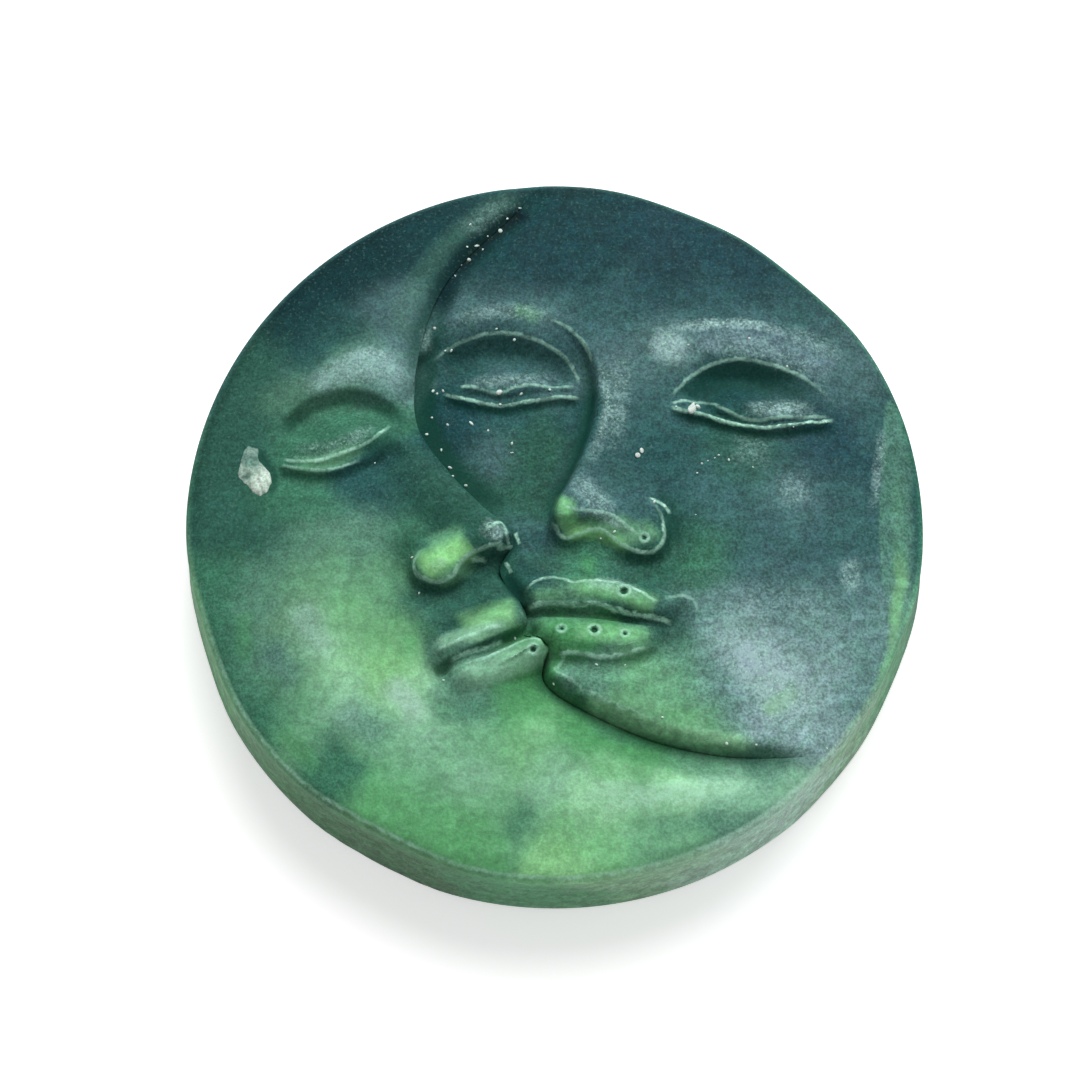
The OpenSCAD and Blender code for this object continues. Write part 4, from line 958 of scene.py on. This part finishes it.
def buildCrumb(name):
    # ragged flake that follows the moon's temple, palest at its lower right
    edge = curveThrough(crumb["outline"], crumb["steps"])[:-1]
    middle = np.array(crumb["middle"])
    size, cell, seed = crumb["ragged"]
    edge = middle + (edge - middle) * (1.0 - size * (1.0 + cloud(edge, cell, seed)))[:, None]
    count = len(edge)
    rings = crumb["rings"]
    flat = [middle[None]]
    rise = [np.array([1.0])]
    for k in range(1, rings + 1):
        q = k / rings
        flat.append(middle + (edge - middle) * q)
        rise.append(np.full(count, 1.0 - q ** crumb["roundness"]))
    flat = np.vstack(flat)
    rise = np.concatenate(rise)
    ground = shapeMoon(flat)[0]
    down = ease(*crumb["fallSpan"], (flat - middle) @ np.array(crumb["fall"]))
    hole = np.exp(-((flat - np.array(crumb["pit"])) ** 2).sum(1) / crumb["pitSize"])
    lump = crumb["lumpLevel"] + sum(size * cloud(flat, cell, seed) for size, cell, seed in crumb["lumps"])
    lump = lump * (crumb["thinSide"] + (1.0 - crumb["thinSide"]) * down) - crumb["pitDepth"] * hole
    top = ground + crumb["thickness"] * rise * np.clip(lump, *crumb["lumpLimits"]) + crumb["lift"]
    xyz = np.vstack([np.c_[flat, top], np.c_[flat, ground - crumb["sink"]]])
    size, cell, seed = crumb["chalking"]
    chalky = np.clip(down + size * cloud(flat, cell, seed), 0.0, 1.0)[:, None]
    tint = np.array(crumb["stain"]) * (1.0 - chalky) + np.array(crumb["chalk"]) * chalky
    tint += crumb["pitShade"] * hole[:, None] * (np.array(crumb["shade"]) - tint)
    faces = []
    for side in (0, len(flat)):
        faces += [(side, side + 1 + k, side + 1 + (k + 1) % count) for k in range(count)]
        for ring in range(rings - 1):
            a = side + 1 + ring * count
            faces += ringFaces(a, a + count, count)
    rim = 1 + (rings - 1) * count
    faces += ringFaces(rim, len(flat) + rim, count)
    return finishPiece(name, xyz, faces, plainLooks(len(xyz)), np.vstack([tint, tint]))


# materials

def addNode(tree, kind, **settings):
    node = tree.nodes.new(kind)
    for key, value in settings.items():
        setattr(node, key, value)
    return node


def setInputs(node, **values):
    for key, value in values.items():
        node.inputs[key].default_value = value


def feed(tree, socket, value):
    # links another node's output, or sets a plain value
    if isinstance(value, bpy.types.NodeSocket):
        tree.links.new(value, socket)
    else:
        socket.default_value = value


def mixColour(tree, blend, factor, a, b):
    node = addNode(tree, "ShaderNodeMix", data_type="RGBA", blend_type=blend)
    for index, value in ((0, factor), (6, a), (7, b)):
        feed(tree, node.inputs[index], value)
    return node.outputs[2]


def doMath(tree, operation, a, b=0.0):
    node = addNode(tree, "ShaderNodeMath", operation=operation)
    for index, value in enumerate((a, b)):
        feed(tree, node.inputs[index], value)
    return node.outputs[0]


def spread(tree, value, low, high, toLow=0.0, toHigh=1.0):
    node = addNode(tree, "ShaderNodeMapRange", interpolation_type="SMOOTHSTEP")
    for index, number in enumerate((value, low, high, toLow, toHigh)):
        feed(tree, node.inputs[index], number)
    return node.outputs[0]


def noise(tree, vector, scale, detail, roughness=0.55, distortion=0.0):
    # value of a noise texture, 0 to 1
    node = addNode(tree, "ShaderNodeTexNoise")
    tree.links.new(vector, node.inputs["Vector"])
    setInputs(node, Scale=scale, Detail=detail, Roughness=roughness, Distortion=distortion)
    return node.outputs["Fac"]


def greyOf(tree, value):
    node = addNode(tree, "ShaderNodeCombineColor")
    for socket in node.inputs:
        tree.links.new(value, socket)
    return node.outputs[0]


def newGroup(name, inputs, outputs):
    tree = bpy.data.node_groups.new(name, "ShaderNodeTree")
    for label, kind in inputs:
        tree.interface.new_socket(name=label, in_out="INPUT", socket_type=kind)
    for label, kind in outputs:
        tree.interface.new_socket(name=label, in_out="OUTPUT", socket_type=kind)
    return tree, addNode(tree, "NodeGroupInput"), addNode(tree, "NodeGroupOutput")


soapLook = dict(
    paleLine=(*srgb(0.71, 0.92, 0.83), 1), paintedShadeColour=(*srgb(0.04, 0.235, 0.19), 1),
    bloomSheenColour=(*srgb(0.63, 0.76, 0.75), 1), greener=(0.95, 1.03, 0.96, 1), bluer=(1.04, 0.98, 1.04, 1),
    # noises: scale, detail, roughness, distortion
    clouds=(210.0, 5.0, 0.6, 0.8), wisps=(330.0, 4.0, 0.6, 2.0), chips=(1000.0, 3.0, 0.6, 0.5),
    grain=(3700.0, 2.0, 0.6), specks=(3400.0, 1.0), streaks=(900.0, 3.0), streakTurn=-55, streakLength=0.22,
    # ranges: two values of a noise or mask, and what they become
    cloudTone=(0.3, 0.72, 0.89, 1.12), streakTone=(0.3, 0.7, 0.88, 1.12), chipTone=(0.3, 0.7, 0.77, 1.26),
    wispHue=(0.35, 0.65), grainTone=(0.3, 0.7, 0.67, 1.35), greenPowder=(0.02, 0.2, 1.0, 0.45),
    cloudBloomSheen=(0.25, 0.65, 0.6, 1.1), chipBloomSheen=(0.32, 0.66, 0.45, 1.45),
    grainBloomSheen=(0.36, 0.66, 0.5, 1.55), speckFrom=(0.58, 0.72), speckOnBloomSheen=1.2, speckLeast=0.05,
    paintedShadeStrength=0.92,
    lineWobble=(0.25, 0.75, -0.52, -0.48), lineAcross=(0.012, 0.066, 1.0, 0.0),
    wispLine=(0.38, 0.6, 0.55, 1.05), chipLine=(0.34, 0.62, 0.6, 1.15), grainLine=(0.3, 0.6, 0.7, 1.1),
    roughness=(0.3, 0.7, 0.52, 0.66), roughBloomSheen=0.12, streakHeight=0.4,
)


def breakUp(tree, value, *noises):
    # value times each noise, spread over its own range
    for texture, span in noises:
        value = doMath(tree, "MULTIPLY", value, spread(tree, texture, *soapLook[span]))
    return value


def makeSoapGroup():
    # marbled soap: tint, painted shade, bloom with painted sheen, and pale lines in; colour, roughness and
    # height out
    tree, given, result = newGroup(
        "marbledSoap",
        [("Tint", "NodeSocketColor"), ("ShadeBloomSheen", "NodeSocketColor"), ("Gaps", "NodeSocketColor"),
         ("WearGlint", "NodeSocketColor"), ("Place", "NodeSocketVector"),
         ("Cloud strength", "NodeSocketFloat"), ("Grain strength", "NodeSocketFloat")],
        [("Colour", "NodeSocketColor"), ("Roughness", "NodeSocketFloat"), ("Height", "NodeSocketFloat")])
    look = soapLook
    place, tint, cloudStrength = (given.outputs[label] for label in ("Place", "Tint", "Cloud strength"))
    clouds, wisps, chips, grain, specks = (noise(tree, place, *look[label])
                                           for label in ("clouds", "wisps", "chips", "grain", "specks"))
    brushed = addNode(tree, "ShaderNodeMapping")
    setInputs(brushed, Rotation=(0, 0, math.radians(look["streakTurn"])), Scale=(look["streakLength"], 1, 1))
    tree.links.new(place, brushed.inputs["Vector"])
    streaks = noise(tree, brushed.outputs[0], *look["streaks"])
    masks = {}
    for label in ("ShadeBloomSheen", "Gaps", "WearGlint", "Tint"):
        masks[label] = addNode(tree, "ShaderNodeSeparateColor").outputs
        tree.links.new(given.outputs[label], masks[label][0].node.inputs[0])
    paintedShade, bloomSheen = masks["ShadeBloomSheen"][:2]
    # lighter and darker drifts in the pour, greener and bluer wisps
    light = spread(tree, clouds, *look["cloudTone"])
    light = breakUp(tree, light, (streaks, "streakTone"), (chips, "chipTone"))
    colour = mixColour(tree, "MULTIPLY", cloudStrength, tint, greyOf(tree, light))
    hue = mixColour(tree, "MIX", spread(tree, wisps, *look["wispHue"]), look["greener"], look["bluer"])
    colour = mixColour(tree, "MULTIPLY", cloudStrength, colour, hue)
    # fine powdery grain, weaker where the soap is green
    fleck = greyOf(tree, spread(tree, grain, *look["grainTone"]))
    green = doMath(tree, "SUBTRACT", masks["Tint"][1], masks["Tint"][2])
    powder = breakUp(tree, given.outputs["Grain strength"], (green, "greenPowder"))
    colour = mixColour(tree, "MULTIPLY", powder, colour, fleck)
    # dry bloom and painted sheen, broken up by the grain
    broken = breakUp(tree, bloomSheen, (clouds, "cloudBloomSheen"), (chips, "chipBloomSheen"), (grain, "grainBloomSheen"))
    colour = mixColour(tree, "MIX", broken, colour, look["bloomSheenColour"])
    # scattered pale specks, thicker where the bloom and sheen are
    dusty = doMath(tree, "ADD", doMath(tree, "MULTIPLY", bloomSheen, look["speckOnBloomSheen"]), look["speckLeast"])
    speck = doMath(tree, "MULTIPLY", spread(tree, specks, *look["speckFrom"]), dusty)
    colour = mixColour(tree, "MIX", speck, colour, look["paleLine"])
    # painted shade in creases, folds and hollows
    paintedShade = doMath(tree, "MULTIPLY", paintedShade, look["paintedShadeStrength"])
    colour = mixColour(tree, "MIX", paintedShade, colour, look["paintedShadeColour"])
    # thin pale edges of wear and painted glint, drawn from the distance to their lines
    wobble = spread(tree, chips, *look["lineWobble"])
    worn = 0.0
    for gap, wearGlint in zip(masks["Gaps"], masks["WearGlint"]):
        across = doMath(tree, "ABSOLUTE", doMath(tree, "ADD", gap, wobble))
        worn = doMath(tree, "MAXIMUM", worn, breakUp(tree, wearGlint, (across, "lineAcross")))
    worn = breakUp(tree, worn, (wisps, "wispLine"), (chips, "chipLine"), (grain, "grainLine"))
    colour = mixColour(tree, "MIX", worn, colour, look["paleLine"])
    tree.links.new(colour, result.inputs["Colour"])
    dry = doMath(tree, "MULTIPLY", bloomSheen, look["roughBloomSheen"])
    rough = doMath(tree, "ADD", spread(tree, clouds, *look["roughness"]), dry)
    tree.links.new(rough, result.inputs["Roughness"])
    height = doMath(tree, "ADD", grain, doMath(tree, "MULTIPLY", streaks, look["streakHeight"]))
    tree.links.new(height, result.inputs["Height"])
    return tree


soapGroup = makeSoapGroup()

soapBody = dict(scatterScale=0.0006, scatterRadius=(0.6, 1.0, 0.8), ior=1.46, specular=0.06,
                bumpStrength=0.5, bumpDepth=0.00008)
flakeBody = dict(scatter=0.2, scatterScale=0.001, grain=(1900.0, 4.0), grainFrom=(0.3, 0.7), darker=0.62)


def newMaterial(name):
    material = bpy.data.materials.new(name)
    material.use_nodes = True
    return material, material.node_tree, material.node_tree.nodes["Principled BSDF"]


def makeSoap(name, cloudStrength, grainStrength, scatter):
    material, tree, shader = newMaterial(name)
    setInputs(shader, **{"Subsurface Weight": scatter, "Subsurface Scale": soapBody["scatterScale"],
                         "Subsurface Radius": soapBody["scatterRadius"], "IOR": soapBody["ior"],
                         "Specular IOR Level": soapBody["specular"]})
    place = addNode(tree, "ShaderNodeTexCoord")
    look = addNode(tree, "ShaderNodeGroup", node_tree=soapGroup)
    setInputs(look, **{"Cloud strength": cloudStrength, "Grain strength": grainStrength})
    bump = addNode(tree, "ShaderNodeBump")
    setInputs(bump, Strength=soapBody["bumpStrength"], Distance=soapBody["bumpDepth"])
    layers = (("soapTint", "Tint"), ("soapShadeBloomSheen", "ShadeBloomSheen"), ("lineGaps", "Gaps"), ("lineWearGlint", "WearGlint"))
    for attribute, label in layers:
        layer = addNode(tree, "ShaderNodeAttribute", attribute_name=attribute)
        tree.links.new(layer.outputs["Color"], look.inputs[label])
    tree.links.new(place.outputs["Object"], look.inputs["Place"])
    tree.links.new(look.outputs["Colour"], shader.inputs["Base Color"])
    tree.links.new(look.outputs["Roughness"], shader.inputs["Roughness"])
    tree.links.new(look.outputs["Height"], bump.inputs["Height"])
    tree.links.new(bump.outputs["Normal"], shader.inputs["Normal"])
    return material


def makeFlake(name, colour, roughness):
    # dry pale soap of the flecks
    material, tree, shader = newMaterial(name)
    setInputs(shader, **{"Roughness": roughness, "Subsurface Weight": flakeBody["scatter"],
                         "Subsurface Scale": flakeBody["scatterScale"]})
    place = addNode(tree, "ShaderNodeTexCoord")
    grain = noise(tree, place.outputs["Object"], *flakeBody["grain"])
    darker = tuple(c * flakeBody["darker"] for c in colour)
    tone = mixColour(tree, "MIX", spread(tree, grain, *flakeBody["grainFrom"]), (*darker, 1), (*colour, 1))
    tree.links.new(tone, shader.inputs["Base Color"])
    return material


# cloud strength, grain strength, scatter
sunSoap = makeSoap("sunSoap", 0.85, 0.95, 0.1)
moonSoap = makeSoap("moonSoap", 0.6, 0.8, 0.1)
backingSoap = makeSoap("backingSoap", 0.9, 0.8, 0.1)
crumbSoap = makeSoap("crumbSoap", 0.4, 0.9, 0.15)
fleckSoap = makeFlake("fleckSoap", srgb(0.86, 0.92, 0.89), 0.6)
print("materials made")


# pieces on the frame

def dress(piece, material, slot, *nodes):
    piece.data.materials.append(material)
    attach(piece, "root")
    if nodes:
        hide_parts(*nodes)


sunPiece = buildPour("sunFacePour", 0.0, sunFace, shapeSun)
dress(sunPiece, sunSoap, "sun_soap", "sun_face")
moonPiece = buildPour("moonCrescentPour", 2 * math.pi, moonFace, shapeMoon)
dress(moonPiece, moonSoap, "moon_soap", "moon_crescent")
backingPiece = buildBacking("backingPour")
dress(backingPiece, backingSoap, "backing_soap", "base_slab")
crumbPiece = buildCrumb("templeCrumb")
dress(crumbPiece, crumbSoap, "crumb_soap", "soap_crumb")
print("pours built")


# pale flecks

flecks = dict(
    size=0.19, seed=5, lift=0.03, turn=(0.5, 0.5, 6.28), thinnest=(0.7, 0.5, 0.5), thickest=(1.4, 1.0, 0.8),
    # x, y and size of each fleck lying on the faces
    spots=[
        (-5.6, 31.1, 1.6), (-8, 29.3, 1), (-8.8, 27.8, 1.6), (-8.7, 31.7, 0.8), (-12.2, 20.1, 0.9),
        (-5.9, 20, 0.8), (-4.1, 18.8, 0.9), (-10.5, 17.6, 0.8), (-11.1, 17.6, 0.7), (-12.3, 13.3, 0.9),
        (-11.9, 13, 0.8), (-11.3, 13.3, 0.7), (-5.6, 13.1, 1.7), (-0.5, 13.4, 0.9), (-3.4, 12.9, 0.8),
        (-5.5, 11.8, 0.8), (-12.4, 10.4, 0.8), (-12.9, 8.6, 0.9), (-8.4, 9.8, 1.2), (-10.8, 9.6, 0.7),
        (-6.7, 9, 0.7), (-4.3, 7.6, 0.8), (-4.3, 6.6, 0.7), (-11.4, 6.9, 1), (-10.5, 5, 1),
        (-10.2, 4.1, 0.8), (-8.9, 3.1, 0.8), (-14.1, -4.5, 0.7), (-13.4, -8.2, 0.7), (8.3, 6.3, 1.6),
        (8.7, 6.8, 1.5), (13.8, 11.2, 2.6), (14.4, 11.5, 2.3), (13.9, 11.7, 1.6), (19.7, 18.9, 0.8),
        (23.5, 15.9, 0.8), (13.5, 18.2, 0.6), (27.3, 9.9, 0.8), (16.4, 6.3, 0.7), (17.4, 5.8, 0.8),
        (14.7, 5.4, 0.6), (14.2, 4.4, 0.6), (19.8, 5, 0.9), (9.9, 1.3, 1), (11, 0.8, 0.8),
        (5.9, -1.7, 0.8), (4.6, -2.4, 0.7), (14, 0, 0.6), (8.8, -10.3, 0.7), (4.1, -15.5, 0.9),
        (6.9, -15.6, 0.6), (-0.1, -17.8, 0.8), (16.8, -24.2, 1), (19.7, -24, 0.7), (26.6, -24.3, 0.8),
        (10.5, -20.9, 0.7), (-10.9, -17.2, 0.9), (-3.9, -12.7, 0.7), (-18, 5.5, 0.6), (15.3, 5.7, 0.5),
        (16, 6, 0.5), (24, 9.4, 0.5), (12.2, 11.5, 0.6), (-6.9, 30.4, 0.5), (-7.4, 29, 0.6),
        (-9.6, 27.2, 0.5), (-10.2, 26, 0.6), (-9, 29.2, 0.6), (-4.9, 32.4, 0.7), (-3.6, 33.6, 0.8),
    ],
)


def surfaceAt(xy):
    # height of whichever face lies at each point
    side = nearestOn(xy, profileCurve(lineSteps), lineSteps)[2]
    return np.where(side > 0, shapeSun(xy)[0], shapeMoon(xy)[0])


def makeFleckTree():
    # squashed grains, turned at random, one on each spot
    tree = bpy.data.node_groups.new("layFlecks", "GeometryNodeTree")
    sockets = {}
    for label, kind, way in (("Spots", "NodeSocketGeometry", "INPUT"),
                             ("Fleck size", "NodeSocketFloat", "INPUT"), ("Seed", "NodeSocketInt", "INPUT"),
                             ("Soap", "NodeSocketMaterial", "INPUT"),
                             ("Flecks", "NodeSocketGeometry", "OUTPUT")):
        sockets[label] = tree.interface.new_socket(name=label, in_out=way, socket_type=kind).identifier
    given, result = addNode(tree, "NodeGroupInput"), addNode(tree, "NodeGroupOutput")
    grain = addNode(tree, "GeometryNodeMeshIcoSphere")
    setInputs(grain, Radius=1.0, Subdivisions=2)
    lay = addNode(tree, "GeometryNodeInstanceOnPoints")
    spotSize = addNode(tree, "GeometryNodeInputNamedAttribute", data_type="FLOAT")
    spotSize.inputs["Name"].default_value = "spotSize"
    turn = addNode(tree, "FunctionNodeRandomValue", data_type="FLOAT_VECTOR")
    turn.inputs[1].default_value = flecks["turn"]
    squash = addNode(tree, "FunctionNodeRandomValue", data_type="FLOAT_VECTOR")
    squash.inputs[0].default_value = flecks["thinnest"]
    squash.inputs[1].default_value = flecks["thickest"]
    size = addNode(tree, "ShaderNodeMath", operation="MULTIPLY")
    scale = addNode(tree, "ShaderNodeVectorMath", operation="SCALE")
    real = addNode(tree, "GeometryNodeRealizeInstances")
    paint = addNode(tree, "GeometryNodeSetMaterial")
    link = tree.links.new
    link(given.outputs["Spots"], lay.inputs["Points"])
    link(grain.outputs["Mesh"], lay.inputs["Instance"])
    for chance in (turn, squash):
        link(given.outputs["Seed"], chance.inputs["Seed"])
    link(turn.outputs[0], lay.inputs["Rotation"])
    link(spotSize.outputs[0], size.inputs[0])
    link(given.outputs["Fleck size"], size.inputs[1])
    link(squash.outputs[0], scale.inputs[0])
    link(size.outputs[0], scale.inputs["Scale"])
    link(scale.outputs[0], lay.inputs["Scale"])
    link(lay.outputs[0], real.inputs[0])
    link(real.outputs[0], paint.inputs["Geometry"])
    link(given.outputs["Soap"], paint.inputs["Material"])
    link(paint.outputs[0], result.inputs["Flecks"])
    return tree, sockets


def buildFlecks(name):
    spots = np.array(flecks["spots"], float)
    spots[:, 1] -= viewLean * (surfaceAt(spots[:, :2]) - viewLevel)  # placed as the camera sees them
    z = surfaceAt(spots[:, :2]) + flecks["lift"]
    mesh = bpy.data.meshes.new(name + "Spots")
    mesh.from_pydata((np.c_[spots[:, :2], z] * mm).tolist(), [], [])
    sizes = mesh.attributes.new("spotSize", "FLOAT", "POINT")
    sizes.data.foreach_set("value", spots[:, 2].astype(np.float32))
    seeded = bpy.data.objects.new(name + "Spots", mesh)
    bpy.context.collection.objects.link(seeded)
    tree, sockets = makeFleckTree()
    scatter = seeded.modifiers.new("flecks", "NODES")
    scatter.node_group = tree
    scatter[sockets["Fleck size"]] = flecks["size"] * mm
    scatter[sockets["Seed"]] = flecks["seed"]
    scatter[sockets["Soap"]] = fleckSoap
    bpy.context.view_layer.update()
    laid = seeded.evaluated_get(bpy.context.evaluated_depsgraph_get())
    plain = bpy.data.meshes.new_from_object(laid)
    plain.name = name
    bpy.data.objects.remove(seeded)
    piece = bpy.data.objects.new(name, plain)
    bpy.context.collection.objects.link(piece)
    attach(piece, "root")
    print(name, len(plain.vertices), "points")
    return piece


buildFlecks("soapFlecks")


# floor, light and camera

stageSet = dict(
    floorHalf=3, floorDrop=0.02, floorWhite=0.9, floorRough=0.9, floorShine=0.1, glow=0.5, skyGrey=0.36,
    keyPlace=(0.10, 0.45, 0.50), keyPower=5.4, keySize=0.6,
    # the photograph's view: from the front, 71 degrees up
    elevation=71.0, distance=0.350, aimHeight=0.0055, sensor=36.0, lens=114.86, shift=(-0.0136, -0.0021),
    near=0.01,
)


def whiteSeen(tree, strength):
    # white to the camera and in reflections, plain to the light that falls on the object
    rays = addNode(tree, "ShaderNodeLightPath")
    seen = doMath(tree, "MAXIMUM", rays.outputs["Is Camera Ray"], rays.outputs["Is Glossy Ray"])
    seen = doMath(tree, "MAXIMUM", seen, rays.outputs["Is Transmission Ray"])
    return doMath(tree, "MULTIPLY", seen, strength)


def makeFloor():
    mesh = bpy.data.meshes.new("floor")
    low = -stageSet["floorDrop"] * mm  # clear of the puck's flat underside
    half = stageSet["floorHalf"]
    corners = [(-half, -half, low), (half, -half, low), (half, half, low), (-half, half, low)]
    mesh.from_pydata(corners, [], [(0, 1, 2, 3)])
    floor = bpy.data.objects.new("floor", mesh)
    bpy.context.collection.objects.link(floor)
    material, tree, shader = newMaterial("floorWhite")
    white = stageSet["floorWhite"]
    setInputs(shader, **{"Base Color": (white, white, white, 1), "Roughness": stageSet["floorRough"],
                         "Specular IOR Level": stageSet["floorShine"], "Emission Color": (1, 1, 1, 1)})
    tree.links.new(whiteSeen(tree, stageSet["glow"]), shader.inputs["Emission Strength"])
    # seen through from below, so that the underside can be looked at
    below = addNode(tree, "ShaderNodeNewGeometry").outputs["Backfacing"]
    tree.links.new(doMath(tree, "SUBTRACT", 1.0, below), shader.inputs["Alpha"])
    mesh.materials.append(material)


def makeWorld():
    world = bpy.data.worlds.new("studio")
    world.use_nodes = True
    tree = world.node_tree
    sky = tree.nodes["Background"]
    sky.inputs["Color"].default_value = (1, 1, 1, 1)
    seen = whiteSeen(tree, 1.0 - stageSet["skyGrey"])
    tree.links.new(doMath(tree, "ADD", seen, stageSet["skyGrey"]), sky.inputs["Strength"])
    bpy.context.scene.world = world


def addLamp(name, place, aim, size, power):
    lamp = bpy.data.lights.new(name, "AREA")
    lamp.shape = "DISK"
    lamp.size = size
    lamp.energy = power
    holder = bpy.data.objects.new(name, lamp)
    bpy.context.collection.objects.link(holder)
    holder.location = place
    direction = np.array(aim) - np.array(place)
    holder.rotation_euler = (math.atan2(math.hypot(direction[0], direction[1]), -direction[2]), 0,
                             math.atan2(-direction[0], direction[1]))


def makeCamera():
    camera = bpy.data.cameras.new("photoView")
    camera.sensor_width = stageSet["sensor"]
    camera.lens = stageSet["lens"]
    camera.shift_x, camera.shift_y = stageSet["shift"]
    camera.clip_start = stageSet["near"]
    holder = bpy.data.objects.new("photoView", camera)
    bpy.context.collection.objects.link(holder)
    up = math.radians(stageSet["elevation"])
    distance = stageSet["distance"]
    holder.location = (0, -distance * math.cos(up), stageSet["aimHeight"] + distance * math.sin(up))
    holder.rotation_euler = (math.radians(90) - up, 0, 0)
    bpy.context.scene.camera = holder


makeFloor()
makeWorld()
addLamp("keyWindow", stageSet["keyPlace"], (0, 0, 0), stageSet["keySize"], stageSet["keyPower"])
makeCamera()
bpy.context.scene.view_settings.view_transform = "Standard"
print("stage set")
